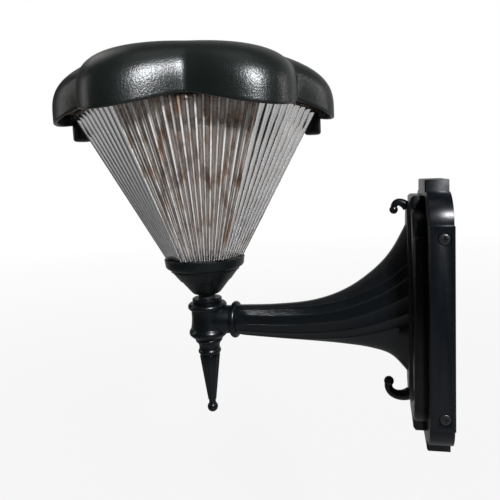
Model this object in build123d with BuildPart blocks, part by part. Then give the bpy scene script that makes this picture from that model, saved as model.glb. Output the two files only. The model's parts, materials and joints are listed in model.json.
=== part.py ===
from build123d import *
import math
import os

# Solar wall lantern: a petal cap on a clear ribbed lens, carried by a fluted arm on a stepped wall plate.
# Frame: the origin is the middle of the wall face, +X goes into the wall, +Z is up, the lamp is at -X.
# All sizes are in millimetres.

# Fits and gaps
run_fit = 0.06          # radial play of a shaft that turns in its hole
turn_gap = 0.2          # play between flat faces that turn on each other
seat_gap = 0.3          # play round a piece that sits in a recess
screw_play = 0.4        # radial play of a screw in its clearance hole

# Lamp head: where it stands and how far it is turned on its rod
lamp_reach = 181.3      # wall face to lamp axis
head_turn = 15.5        # degrees from +X to the middle of the first petal
sides = 6               # petals of the cap and faces of the lens
side_step = 360 / sides

# Petal cap
petal_radius = 105.6    # lamp axis to the middle of a petal
crease_depth = 22.6     # from the petals' circle in to the creases between them
belly_drop = 4.5        # from the tray's underside down to the belly, where the dome starts to close
dome_slack = 4.1        # from the flat top up to the point where the dome would close
crown_rise = 42.8       # from the belly to the flat top
crown_crease_share = 0.997  # crease radius over petal radius where the dome would close
rim_drop = 5.2          # from the belly to the rim under the middle of a petal
rim_slope = 0.43        # rise of the rim for each millimetre towards the axis
cap_wall = 2.5
inner_slack = 4.0       # how much lower the inner dome would close than the outer one
roof_thickness = 5.5
post_circle = 56.0      # radius where the tray's posts stand
post_radius = 3.5
post_hole_radius = 1.6
post_hole_depth = 10.0

# Solar panel, sunk in the flat top
panel_radius = 45.0
panel_recess = 3.0
panel_seal = 0.5
panel_seal_width = 6.0
panel_board = 1.2
cell_thickness = 0.3
glass_thickness = 1.8
glass_chamfer = 0.4
cell_strips = 8
cell_side_margin = 4.0  # bare edge beside the first and last strip
cell_end_margin = 2.0   # bare edge at the ends of the strips
cell_gap = 0.8

# Clear ribbed lens
lens_base_height = 39.8
lens_base_radius = 30.6     # lamp axis to a corner of the hexagon, at the base
lens_length = 112.4         # from the base to the top of the band
lens_wall = 2.2
lens_band_height = 2.2      # straight band at the top of the lens
lens_band_inset = 13.3      # from the petals' circle in to the corners of that band
lens_band_step = 0.7        # how far the band stands out from the ribs
ribs_per_side = 9
rib_rise = 0.6
lens_floor = 2.4
lens_spigot_radius = 23.0
lens_spigot_depth = 5.0
lens_hole_play = 1.5        # round the washer, for the wrench
ear_radius = 7.5

# Tray under the cap, which carries the works
gasket_thickness = 1.0
gasket_width = 2.6
gasket_inset = 0.5
tray_thickness = 2.3
tray_play = 0.8         # between the tray's edge and the cap
locating_ring_play = 1.9    # between the ring and the inside of the lens
locating_ring_width = 2.0
locating_ring_depth = 3.4
wire_hole_radius = 1.9

# Light board under the tray
board_radius = 46.0
board_thickness = 1.6
chip_length = 3.5
chip_width = 2.8
chip_height = 0.7
outer_chip_circle = 34.0
outer_chips = 24
inner_chip_circle = 21.0
inner_chips = 12
board_screw_circle = 41.0
board_screw_count = 3

# Power button beside the light board
button_circle = 65.0
button_angle = 55.0
button_radius = 4.0
button_drop = 6.0       # how far the button stands out below the tray
button_travel = 2.0
button_edge = 1.0
stem_radius = 1.8
stem_length = 3.5
switch_side = 14.0
switch_height = 8.0
bezel_radius = 6.2
bezel_height = 1.5

# Battery and control board above the tray
cell_radius = 9.2
cell_length = 65.0
battery_offset = -26.0
holder_wall = 1.5
holder_height = 12.0
cell_edge = 0.8
contact_plate = 0.6
contact_side = 14.0
contact_reach = 2.4
contact_radius = 3.0
strap_width = 10.0
strap_sheet = 0.8
control_offset = 28.0
control_length = 44.0
control_width = 30.0
control_thickness = 1.6
standoff_height = 5.0
standoff_radius = 2.6
standoff_inset = 4.0
circuit_length = 9.0
circuit_width = 7.0
circuit_height = 1.6
capacitor_radius = 4.0
capacitor_height = 7.0
plug_length = 8.0
plug_width = 6.0
plug_height = 6.0
plug_gap = 5.0

# Clamp knobs that hold the lens up to the tray
knob_inset = 0.9        # from the lens corners' circle in to the knobs
knob_angles = (8.0, 172.0)
knob_radius = 6.6
knob_height = 14.0
knob_collar_radius = 5.0
knob_collar_height = 3.3
knob_fillet = 2.2
knob_edge = 1.0
knob_grips = 12
knob_grip_radius = 0.9
knob_grip_set = 0.36    # how far outside the knob the grip grooves are centred
stud_radius = 2.0
stud_depth = 8.0
insert_radius = 3.4
insert_wall = 1.8
insert_height = 5.0
insert_cap = 1.2        # closed end of the insert
stud_end_gap = 0.8

# Cup under the lens, on the rod
cup_top_radius = 31.2
cup_band_radius = 30.4
cup_band_height = 5.7
cup_step_radius = 26.6
cup_step_height = 8.7
cup_lip_radius = 11.3
cup_lip_rise = 0.8
cup_foot_radius = 10.4
cup_foot_height = 10.8
cup_groove_radius = 19.4    # fine step half way up the cone
cup_groove_rise = 10.0      # from the lip to that step
cup_groove_step = 0.6
cup_edge = 1.2              # height of the small slopes at the cup's steps
cup_band_lip = 0.9
cup_wall = 2.6
cup_inner_draw = 3.0
cup_floor = 3.4
cup_seal = 0.6
cup_screw_circle = 14.2
cup_post_radius = 3.0
cup_post_length = 15.0
cup_post_hole = 6.0
cup_screw_count = 3
cup_screw_radius = 1.5

# Rod, nut, bush
rod_radius = 5.0
rod_top_spare = 3.4     # from the nut to the rod's upper end
rod_grip = 11.5         # how far the rod goes into the finial
rod_chamfer = 0.8
nut_across = 15.0
nut_height = 5.0
washer_radius = 9.0
washer_thickness = 1.2
bush_radius = 6.6
bush_bore_play = 0.1

# Tee body between rod and arm
bush_height = 3.8       # from the tee's top to the bush's upper end
tee_collar_radius = 11.6
tee_collar_edge = 0.6
tee_collar_height = 2.8
tee_bead_radius = 15.3
tee_bead_half = 2.4
tee_waist_radius = 13.0
tee_waist_height = -10.0
tee_waist_hollow = 0.2
tee_skirt_radius = 13.8
tee_skirt_height = -17.5
tee_flare_radius = 15.1
tee_flare_height = -21.8
tee_roll_radius = 13.6
tee_roll_height = -23.6
tee_bottom = -25.3
tee_bottom_radius = 11.8
arm_axis_height = -10.75
stub_radius = 11.0
stub_end = 20.3         # from the lamp axis to the shoulder of the stub
spigot_radius = 8.5
spigot_length = 20.7    # from the shoulder to the end of the spigot

# Finial
finial_play = 0.2
finial_ring_radius = 10.7
finial_ring_roll = 0.8      # how much narrower the ring is at its top
finial_ring_foot = 1.2      # and at its foot
finial_ring_height = 3.4
finial_waist_radius = 8.2
finial_waist_drop = 3.3
finial_bead_radius = 9.0
finial_bead_drop = 4.6
finial_bead_rise = 1.8
finial_bead_roll = 0.5
finial_bead_foot = 1.2
finial_bead_fall = 1.6
finial_cone_drop = 14.5     # from the finial's top to the top of its cone
finial_cone_length = 37.0
finial_cone_radius = 8.2
finial_tip_radius = 3.3
finial_ball_radius = 4.2
finial_ball_drop = 6.4      # from the cone's foot to the middle of the ball
finial_flutes = 10
finial_flute_rise = 0.55

# Arm collar and arm
collar_width = 5.2
collar_radius = 14.3
collar_bead = 2.6       # rise of the collar's rounded back
arm_core_tip = 3.0      # radius of the arm's hollow at its narrow end
arm_core_root = 12.0    # and at the wall
arm_core_length = 88.0
flute_depth = 0.8
fan_middle = 0.12       # height share of the middle ridge at the wall
fan_share = 0.44        # how far the ridges fan out at the wall
flange_thickness = 2.2
flange_half_width = 21.0
flange_top = 79.0
flange_bottom = -70.0
arm_bed = 1.5           # how deep the arm's root goes into the flange
arm_boss_radius = 3.6   # bosses behind the flange, which take the arm screws
arm_boss_length = 5.0
arm_screw_spread = 11.0
arm_screw_top = 66.0
arm_screw_bottom = -57.5
arm_screw_radius = 2.0
arm_screw_head = 3.8
arm_screw_head_height = 2.6
set_screw_place = 33.0  # from the lamp axis to the set screw
set_screw_radius = 2.0
set_screw_length = 3.4
set_screw_socket = 1.0
set_screw_socket_depth = 1.6

# Stations along the arm, from 0 at the lamp to 1 in the flange: reach above its axis, below it, half width
arm_stations = (
    (0.0, 11.6, 11.5, 11.5),
    (0.23, 12.7, 13.7, 11.9),
    (0.46, 16.4, 15.3, 12.9),
    (0.645, 25.2, 17.1, 14.4),
    (0.8, 39.4, 20.1, 16.2),
    (0.904, 54.4, 25.3, 17.8),
    (1.0, 77.3, 39.2, 19.6),
)
crease_angles = (30, 60, 90, 120, 150)   # places of the ridges between the flutes, round the arm

# Scrolls at the root of the arm
scroll_top_radius = 2.5
scroll_top_ball = 3.0
scroll_low_radius = 2.9
scroll_low_ball = 3.6
scroll_top_reach = 35.4     # wall face to the ball of the upper scroll
scroll_top_height = 73.0
scroll_top_drop = 2.8       # from the root of the upper scroll to its ball
scroll_low_reach = 40.8     # wall face to the ball of the lower scroll
scroll_low_height = -56.4
scroll_low_drop = 9.4       # from the ball of the lower scroll to its root

# Wall plate in two layers, each a block with quarter-round shoulders above and below
back_front_face = 15.8      # wall face to the front of the back layer
back_wall = 3.0
back_half_width = 55.0
back_half_height = 66.0
back_shoulder_width = 50.5
back_shoulder_height = 86.5
back_block_width = 28.0
back_block_height = 94.4
front_face = 24.5           # wall face to the front of the front layer
front_half_width = 39.5
front_half_height = 57.5
front_shoulder_width = 36.5
front_shoulder_height = 75.0
front_block_width = 21.0
front_block_height = 83.5
front_bevel = 1.6
front_wall = 3.0
front_boss_radius = 6.2     # stands round the boss of the arm
back_bevel = 0.8

# Wall strap inside the plate, and its side screws
strap_thickness = 2.0
strap_end_play = 2.0        # from the strap's ends to the inside of the back layer
strap_waist = 18.0
strap_hole_radius = 9.0
ear_thickness = 2.0
ear_depth = 12.0
ear_half_height = 4.6
side_screw_height = 58.0
side_screw_depth = 6.5
side_screw_head = 3.7
side_screw_head_height = 1.8
side_screw_sink = 1.2
side_screw_radius = 2.0
side_screw_length = 9.0
wall_hole_radius = 2.75
wall_hole_spacing = 80.0

# Screws of the lamp head: head radius, head height, shank radius, shank length
tray_screw = (3.2, 1.8, 1.55, 10.0)
board_screw = (2.4, 1.4, 1.2, 3.6)
control_screw = (2.0, 1.4, 1.0, 4.5)
cup_screw = (2.8, 1.6, cup_screw_radius, 12.0)
thread_play = 0.05      # how much wider a threaded hole is than its screw
head_round = 0.45       # rounding of a pan head, as a share of its height
recess_reach = 1.1      # length of the cross recess, as a share of the head's radius
recess_width = 0.26     # and its width
recess_depth = 0.5      # depth of the recess, as a share of the head's height
cut_over = 1.0          # how far a cut runs past the solid it cuts

# Places that follow from the sizes above
lamp_x = -lamp_reach
hexagon_share = math.cos(math.pi / sides)   # flat over corner radius of a hexagon
lens_top = lens_base_height + lens_length
band_bottom = lens_top - lens_band_height
lens_band_radius = petal_radius - lens_band_inset
lens_top_radius = lens_band_radius - lens_band_step
lens_spread = (lens_top_radius - lens_base_radius) / (band_bottom - lens_base_height)
lens_slant = math.hypot(1, lens_spread * hexagon_share)
tray_height = lens_top + gasket_thickness
tray_top = tray_height + tray_thickness
ring_radius = lens_band_radius * hexagon_share - lens_wall * lens_slant - locating_ring_play
belly_height = tray_height - belly_drop
rim_tip_height = belly_height - rim_drop
crown_height = belly_height + crown_rise
roof_height = crown_height - roof_thickness
valley_radius = petal_radius - crease_depth
knob_circle = lens_band_radius - knob_inset
collar_top = band_bottom - turn_gap
knob_bottom = collar_top - knob_collar_height - knob_height
tee_top = cup_foot_height - turn_gap - bush_height


def polar(radius, degrees):
    angle = math.radians(degrees)
    return (radius * math.cos(angle), radius * math.sin(angle))


def head_plane(height):
    # Level plane on the lamp axis, with its x axis through the middle of a petal.
    along = polar(1, head_turn)
    return Plane(origin=(lamp_x, 0, height), x_dir=(*along, 0), z_dir=(0, 0, 1))


def head_side():
    # Upright plane on the lamp axis: x is the distance from the axis and y the height.
    along = polar(1, head_turn)
    across = polar(1, head_turn - 90)
    return Plane(origin=(lamp_x, 0, 0), x_dir=(*along, 0), z_dir=(*across, 0))


def cross_plane(wall_distance, height=0.0):
    # Upright plane across the arm: x is sideways and y is up.
    return Plane(origin=(-wall_distance, 0, height), x_dir=(0, 1, 0), z_dir=(1, 0, 0))


def lamp_axis():
    return Axis((lamp_x, 0, 0), (0, 0, 1))


def petal_edges(tip, valley):
    for petal in range(sides):
        middle = petal * side_step
        start = polar(valley, middle - side_step / 2)
        end = polar(valley, middle + side_step / 2)
        ThreePointArc(start, polar(tip, middle), end)


def dome_sizes(height, inset=0.0, drop=0.0):
    # Petal and crease radius of the dome at a height, for the outside or an inset copy.
    share = max(height - belly_height, 0.0) / (crown_rise + dome_slack - drop)
    tip = (petal_radius - inset) * math.sqrt(1 - share**3)
    base_ratio = (valley_radius - inset) / (petal_radius - inset)
    ratio = base_ratio + (crown_crease_share - base_ratio) * share**2
    return tip, tip * ratio


def ribbed_hexagon(corner_radius, rise):
    for side in range(sides):
        first = Vector(*polar(corner_radius, side * side_step))
        last = Vector(*polar(corner_radius, (side + 1) * side_step))
        outward = Vector(*polar(rise, (side + 0.5) * side_step))
        for rib in range(ribs_per_side):
            start = first + (last - first) * (rib / ribs_per_side)
            end = first + (last - first) * ((rib + 1) / ribs_per_side)
            ThreePointArc(start, (start + end) / 2 + outward, end)


def lens_radius(height):
    return lens_base_radius + lens_spread * (height - lens_base_height)


# ---- Cap, panel ----
dome_shares = (0, 0.26, 0.5, 0.68, 0.82, 0.93, 1)
dome_levels = [rim_tip_height - cap_wall]
dome_levels += [belly_height + (crown_height - belly_height) * share for share in dome_shares]
inner_levels = [rim_tip_height - cap_wall - cut_over]
inner_levels += [belly_height + (roof_height - belly_height) * share for share in dome_shares[:-2]]
inner_levels.append(roof_height)

with BuildPart() as petal_cap:
    for level in dome_levels:
        with BuildSketch(head_plane(level)):
            with BuildLine():
                petal_edges(*dome_sizes(level))
            make_face()
    loft()
    for level in inner_levels:
        with BuildSketch(head_plane(level)):
            with BuildLine():
                petal_edges(*dome_sizes(level, inset=cap_wall, drop=inner_slack))
            make_face()
    loft(mode=Mode.SUBTRACT)
    # The rim lies on a shallow cone, so it drops under the petals and peaks at the creases.
    with BuildSketch(head_side()):
        with BuildLine():
            inner = valley_radius - 4 * cap_wall
            outer = petal_radius + cap_wall
            Polyline(
                (inner, rim_tip_height - 4 * cap_wall),
                (outer, rim_tip_height - 4 * cap_wall),
                (outer, rim_tip_height - (outer - petal_radius) * rim_slope),
                (inner, rim_tip_height + (petal_radius - inner) * rim_slope),
                close=True,
            )
        make_face()
    revolve(axis=lamp_axis(), mode=Mode.SUBTRACT)
    with BuildSketch(head_plane(crown_height - panel_recess)):
        Circle(panel_radius + seat_gap)
    extrude(amount=2 * panel_recess, mode=Mode.SUBTRACT)
    with BuildSketch(head_plane(tray_top)):
        with PolarLocations(post_circle, sides, start_angle=side_step / 2):
            Circle(post_radius)
    extrude(amount=roof_height - tray_top + roof_thickness / 4)
    with BuildSketch(head_plane(tray_top)):
        with PolarLocations(post_circle, sides, start_angle=side_step / 2):
            Circle(post_hole_radius)
    extrude(amount=post_hole_depth, mode=Mode.SUBTRACT)
petal_cap.part.label = "petal_cap"

seal_height = crown_height - panel_recess
with BuildPart() as panel_gasket:
    with BuildSketch(head_plane(seal_height)):
        Circle(panel_radius)
        Circle(panel_radius - panel_seal_width, mode=Mode.SUBTRACT)
    extrude(amount=panel_seal)
panel_gasket.part.label = "panel_gasket"

with BuildPart() as panel_backing:
    with BuildSketch(head_plane(seal_height + panel_seal)):
        Circle(panel_radius)
    extrude(amount=panel_board)
panel_backing.part.label = "panel_backing"

cells_height = seal_height + panel_seal + panel_board
strip_width = 2 * (panel_radius - cell_side_margin) / cell_strips - cell_gap
with BuildPart() as solar_cells:
    with BuildSketch(head_plane(cells_height)):
        for strip in range(cell_strips):
            middle = (strip - (cell_strips - 1) / 2) * (strip_width + cell_gap)
            reach = abs(middle) + strip_width / 2
            half = math.sqrt(panel_radius**2 - reach**2) - cell_end_margin
            with Locations((middle, 0)):
                Rectangle(strip_width, 2 * half)
    extrude(amount=cell_thickness)
solar_cells.part.label = "solar_cells"

with BuildPart() as panel_glass:
    with BuildSketch(head_plane(cells_height + cell_thickness)):
        Circle(panel_radius)
    extrude(amount=glass_thickness)
    chamfer(panel_glass.faces().sort_by(Axis.Z)[-1].edges(), glass_chamfer)
panel_glass.part.label = "panel_glass"

# ---- Lens ----
with BuildPart() as ribbed_lens:
    for level in (lens_base_height, band_bottom):
        with BuildSketch(head_plane(level)):
            with BuildLine():
                ribbed_hexagon(lens_radius(level), rib_rise)
            make_face()
    loft(ruled=True)
    with BuildSketch(head_plane(band_bottom)):
        RegularPolygon(lens_band_radius, sides)
        with Locations(*[polar(knob_circle, angle) for angle in knob_angles]):
            Circle(ear_radius)
    extrude(amount=lens_band_height)
    side_inset = lens_wall * lens_slant / hexagon_share
    for level in (lens_base_height + lens_floor, lens_top + cut_over):
        with BuildSketch(head_plane(level)):
            RegularPolygon(lens_radius(level) - side_inset, sides)
    loft(ruled=True, mode=Mode.SUBTRACT)
    with BuildSketch(head_plane(lens_base_height)):
        Circle(lens_spigot_radius)
    extrude(amount=-lens_spigot_depth)
    with BuildSketch(head_plane(lens_base_height + lens_floor)):
        Circle(washer_radius + lens_hole_play)
    extrude(amount=-2 * (lens_floor + lens_spigot_depth), mode=Mode.SUBTRACT)
    with BuildSketch(head_plane(lens_base_height + lens_floor)):
        with PolarLocations(cup_screw_circle, cup_screw_count, start_angle=90):
            Circle(cup_screw_radius + screw_play)
    extrude(amount=-2 * (lens_floor + lens_spigot_depth), mode=Mode.SUBTRACT)
    with BuildSketch(head_plane(band_bottom - cut_over)):
        with Locations(*[polar(knob_circle, angle) for angle in knob_angles]):
            Circle(stud_radius + screw_play)
    extrude(amount=lens_band_height + 2 * cut_over, mode=Mode.SUBTRACT)
ribbed_lens.part.label = "ribbed_lens"

with BuildPart() as lens_gasket:
    with BuildSketch(head_plane(lens_top)):
        RegularPolygon(lens_band_radius - gasket_inset, sides)
        RegularPolygon(lens_band_radius - gasket_inset - gasket_width, sides, mode=Mode.SUBTRACT)
    extrude(amount=gasket_thickness)
lens_gasket.part.label = "lens_gasket"

# ---- Tray and the works ----
button_spot = polar(button_circle, button_angle)
knob_spots = [polar(knob_circle, angle) for angle in knob_angles]
control_hole_x = control_length / 2 - standoff_inset
control_hole_y = control_width / 2 - standoff_inset
control_spots = [
    (x, control_offset + y)
    for x in (-control_hole_x, control_hole_x)
    for y in (-control_hole_y, control_hole_y)
]
with BuildPart() as lamp_tray:
    with BuildSketch(head_plane(tray_height)):
        with BuildLine():
            tip, valley = dome_sizes(tray_top, inset=cap_wall + tray_play)
            petal_edges(tip, valley)
        make_face()
    extrude(amount=tray_thickness)
    with BuildSketch(head_plane(tray_height)):
        Circle(ring_radius)
        Circle(ring_radius - locating_ring_width, mode=Mode.SUBTRACT)
    extrude(amount=-locating_ring_depth)
    with BuildSketch(head_plane(tray_top)):
        with Locations(*knob_spots):
            Circle(insert_radius + insert_wall)
    extrude(amount=insert_height)
    with BuildSketch(head_plane(tray_top)):
        with Locations(*control_spots):
            Circle(standoff_radius)
    extrude(amount=standoff_height)
    with BuildSketch(head_plane(tray_top + standoff_height)):
        with Locations(*control_spots):
            Circle(control_screw[2] + thread_play)
    extrude(amount=control_thickness - control_screw[3], mode=Mode.SUBTRACT)
    with BuildSketch(head_plane(tray_height)):
        with PolarLocations(post_circle, sides, start_angle=side_step / 2):
            Circle(tray_screw[2] + screw_play)
        with Locations(*knob_spots):
            Circle(insert_radius)
        with Locations(button_spot):
            Circle(button_radius + seat_gap)
        with PolarLocations(board_screw_circle, board_screw_count, start_angle=90):
            Circle(board_screw[2] + thread_play)
        Circle(wire_hole_radius)
    extrude(amount=tray_thickness + insert_height, mode=Mode.SUBTRACT)
lamp_tray.part.label = "lamp_tray"


def pan_screws(plane, spots, screw, name):
    # A group of pan head screws; each head stands on the plane and its shank goes the other way.
    head_radius, head_height, shank_radius, shank_length = screw
    with BuildPart() as screws:
        with BuildSketch(plane):
            with Locations(*spots):
                Circle(head_radius)
        extrude(amount=head_height)
        fillet(screws.faces().filter_by(GeomType.PLANE).edges().filter_by(
            lambda edge: abs(edge.radius - head_radius) < 0.01 and
            abs(plane.to_local_coords(edge.center()).Z - head_height) < 0.01
        ), head_height * head_round)
        with BuildSketch(plane):
            with Locations(*spots):
                Circle(shank_radius)
        extrude(amount=-shank_length)
        with BuildSketch(plane.offset(head_height)):
            with Locations(*spots):
                Rectangle(head_radius * recess_reach, head_radius * recess_width)
                Rectangle(head_radius * recess_width, head_radius * recess_reach)
        extrude(amount=-head_height * recess_depth, mode=Mode.SUBTRACT)
    screws.part.label = name
    return screws.part


def flipped(plane):
    return Plane(origin=plane.origin, x_dir=plane.x_dir, z_dir=-plane.z_dir)


def ring_spots(radius, count, start):
    return [polar(radius, start + 360 / count * place) for place in range(count)]


under_tray = flipped(head_plane(tray_height))
tray_spots = ring_spots(post_circle, sides, side_step / 2)
tray_screws = pan_screws(under_tray, tray_spots, tray_screw, "tray_screws")

with BuildPart() as light_board:
    with BuildSketch(head_plane(tray_height)):
        Circle(board_radius)
        with PolarLocations(board_screw_circle, board_screw_count, start_angle=90):
            Circle(board_screw[2] + seat_gap, mode=Mode.SUBTRACT)
        Circle(wire_hole_radius, mode=Mode.SUBTRACT)
    extrude(amount=-board_thickness)
light_board.part.label = "light_board"

with BuildPart() as light_chips:
    with BuildSketch(head_plane(tray_height - board_thickness)):
        with PolarLocations(outer_chip_circle, outer_chips):
            Rectangle(chip_width, chip_length)
        with PolarLocations(inner_chip_circle, inner_chips):
            Rectangle(chip_width, chip_length)
    extrude(amount=-chip_height)
light_chips.part.label = "light_chips"

under_board = flipped(head_plane(tray_height - board_thickness))
board_spots = ring_spots(board_screw_circle, board_screw_count, -90)
board_screws = pan_screws(under_board, board_spots, board_screw, "board_screws")

with BuildPart() as button_bezel:
    with BuildSketch(head_plane(tray_height)):
        with Locations(button_spot):
            Circle(bezel_radius)
            Circle(button_radius + seat_gap, mode=Mode.SUBTRACT)
    extrude(amount=-bezel_height)
button_bezel.part.label = "button_bezel"

with BuildPart() as power_button:
    with BuildSketch(head_plane(tray_height - button_drop)):
        with Locations(button_spot):
            Circle(button_radius)
    extrude(amount=button_drop + tray_thickness - seat_gap)
    fillet(power_button.faces().sort_by(Axis.Z)[0].edges(), button_edge)
    with BuildSketch(head_plane(tray_top - seat_gap)):
        with Locations(button_spot):
            Circle(stem_radius)
    extrude(amount=stem_length)
power_button.part.label = "power_button"

with BuildPart() as switch_body:
    with BuildSketch(head_plane(tray_top)):
        with Locations(button_spot):
            Rectangle(switch_side, switch_side)
    extrude(amount=switch_height)
    with BuildSketch(head_plane(tray_top)):
        with Locations(button_spot):
            Circle(stem_radius + seat_gap)
    extrude(amount=stem_length + button_travel, mode=Mode.SUBTRACT)
    with BuildSketch(head_plane(tray_top)):
        with Locations(button_spot):
            Circle(button_radius + seat_gap)
    extrude(amount=button_travel, mode=Mode.SUBTRACT)
switch_body.part.label = "switch_body"

holder_length = cell_length + 2 * (contact_plate + contact_reach)
holder_width = 2 * (cell_radius + seat_gap)
with BuildPart() as battery_holder:
    with BuildSketch(head_plane(tray_top)):
        with Locations((0, battery_offset)):
            Rectangle(holder_length + 2 * holder_wall, holder_width + 2 * holder_wall)
    extrude(amount=holder_height)
    with BuildSketch(head_plane(tray_top + holder_wall)):
        with Locations((0, battery_offset)):
            Rectangle(holder_length, holder_width)
    extrude(amount=holder_height, mode=Mode.SUBTRACT)
battery_holder.part.label = "battery_holder"

cell_height = tray_top + holder_wall + cell_radius
with BuildPart() as battery_cell:
    along = polar(1, head_turn)
    start = head_plane(cell_height).from_local_coords((-cell_length / 2, battery_offset, 0))
    with BuildSketch(Plane(origin=start, z_dir=(*along, 0))):
        Circle(cell_radius)
    extrude(amount=cell_length)
    fillet(battery_cell.edges().filter_by(GeomType.CIRCLE), cell_edge)
battery_cell.part.label = "battery_cell"

with BuildPart() as battery_contacts:
    for end in (-1, 1):
        base = head_plane(cell_height).from_local_coords((end * holder_length / 2, battery_offset, 0))
        inward = polar(-end, head_turn)
        with BuildSketch(Plane(origin=base, x_dir=(0, 0, 1), z_dir=(*inward, 0))):
            Rectangle(contact_side, contact_side)
        extrude(amount=contact_plate)
        with BuildSketch(Plane(origin=base, x_dir=(0, 0, 1), z_dir=(*inward, 0))):
            Circle(contact_radius)
        extrude(amount=contact_plate + contact_reach)
battery_contacts.part.label = "battery_contacts"

with BuildPart() as battery_strap:
    along = polar(1, head_turn)
    middle = head_plane(cell_height).from_local_coords((-strap_width / 2, battery_offset, 0))
    with BuildSketch(Plane(origin=middle, x_dir=(*polar(1, head_turn + 90), 0), z_dir=(*along, 0))):
        strap_inner = holder_width / 2 + holder_wall
        strap_low = tray_top - cell_height
        strap_bend = tray_top + holder_height - cell_height
        strap_top = cell_radius + seat_gap
        with BuildLine():
            Line((-strap_inner, strap_low), (-strap_inner, strap_bend))
            ThreePointArc((-strap_inner, strap_bend), (0, strap_top), (strap_inner, strap_bend))
            Line((strap_inner, strap_bend), (strap_inner, strap_low))
            outer = strap_inner + strap_sheet
            Line((strap_inner, strap_low), (outer, strap_low))
            Line((outer, strap_low), (outer, strap_bend))
            ThreePointArc((outer, strap_bend), (0, strap_top + strap_sheet), (-outer, strap_bend))
            Line((-outer, strap_bend), (-outer, strap_low))
            Line((-outer, strap_low), (-strap_inner, strap_low))
        make_face()
    extrude(amount=strap_width)
battery_strap.part.label = "battery_strap"

control_height = tray_top + standoff_height
with BuildPart() as control_board:
    with BuildSketch(head_plane(control_height)):
        with Locations((0, control_offset)):
            Rectangle(control_length, control_width)
            with GridLocations(2 * control_hole_x, 2 * control_hole_y, 2, 2):
                Circle(control_screw[2] + seat_gap, mode=Mode.SUBTRACT)
    extrude(amount=control_thickness)
control_board.part.label = "control_board"

control_top = head_plane(control_height + control_thickness)
with BuildPart() as control_parts:
    with BuildSketch(control_top):
        with Locations((-control_length / 5, control_offset + control_width / 10)):
            Rectangle(circuit_length, circuit_width)
    extrude(amount=circuit_height)
    with BuildSketch(control_top):
        with Locations((control_length / 5, control_offset + control_width / 8)):
            Circle(capacitor_radius)
    extrude(amount=capacitor_height)
    with BuildSketch(control_top):
        with Locations((0, control_offset - control_width * 0.3)):
            with GridLocations(plug_length + plug_gap, plug_width, 2, 1):
                Rectangle(plug_length, plug_width)
    extrude(amount=plug_height)
control_parts.part.label = "control_parts"

control_screws = pan_screws(control_top, control_spots, control_screw, "control_screws")

# ---- Clamp knobs ----
insert_roof = tray_top + insert_height - insert_cap
knob_nodes = {}
for knob_name, spot in zip(("right", "left"), knob_spots):
    with BuildPart() as knob:
        with BuildSketch(head_plane(knob_bottom)):
            with Locations(spot):
                Circle(knob_radius)
        extrude(amount=knob_height)
        fillet(knob.faces().sort_by(Axis.Z)[0].edges(), knob_fillet)
        fillet(knob.faces().sort_by(Axis.Z)[-1].edges(), knob_edge)
        with BuildSketch(head_plane(knob_bottom)):
            with Locations(spot):
                with PolarLocations(knob_radius + knob_grip_set, knob_grips):
                    Circle(knob_grip_radius)
        extrude(amount=knob_height, mode=Mode.SUBTRACT)
        with BuildSketch(head_plane(collar_top - knob_collar_height - knob_edge)):
            with Locations(spot):
                Circle(knob_collar_radius)
        extrude(amount=knob_collar_height + knob_edge)
        with BuildSketch(head_plane(collar_top)):
            with Locations(spot):
                Circle(stud_radius)
        extrude(amount=-stud_depth, mode=Mode.SUBTRACT)
    knob_nodes["clamp_knob_" + knob_name] = knob.part
    with BuildPart() as stud:
        with BuildSketch(head_plane(collar_top - stud_depth)):
            with Locations(spot):
                Circle(stud_radius)
        extrude(amount=insert_roof - stud_end_gap - collar_top + stud_depth)
    knob_nodes["knob_stud_" + knob_name] = stud.part
for node_name, node_part in knob_nodes.items():
    node_part.label = node_name

with BuildPart() as stud_inserts:
    with BuildSketch(head_plane(tray_height)):
        with Locations(*knob_spots):
            Circle(insert_radius)
    extrude(amount=tray_thickness + insert_height)
    with BuildSketch(head_plane(tray_height)):
        with Locations(*knob_spots):
            Circle(stud_radius + run_fit)
    extrude(amount=insert_roof - tray_height, mode=Mode.SUBTRACT)
stud_inserts.part.label = "stud_inserts"

# ---- Cup ----
cup_top = lens_base_height - cup_seal
band_foot = cup_top - cup_band_height
step_foot = cup_top - cup_step_height
spigot_bottom = lens_base_height - lens_spigot_depth
floor_top = cup_foot_height + cup_floor
cup_lip_height = cup_foot_height + cup_lip_rise


def cup_inside(height):
    # Inner radius of the cup's cone at a height.
    share = (height - cup_lip_height) / (step_foot - cup_lip_height)
    return cup_lip_radius + (cup_step_radius - cup_lip_radius) * share - cup_wall


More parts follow.
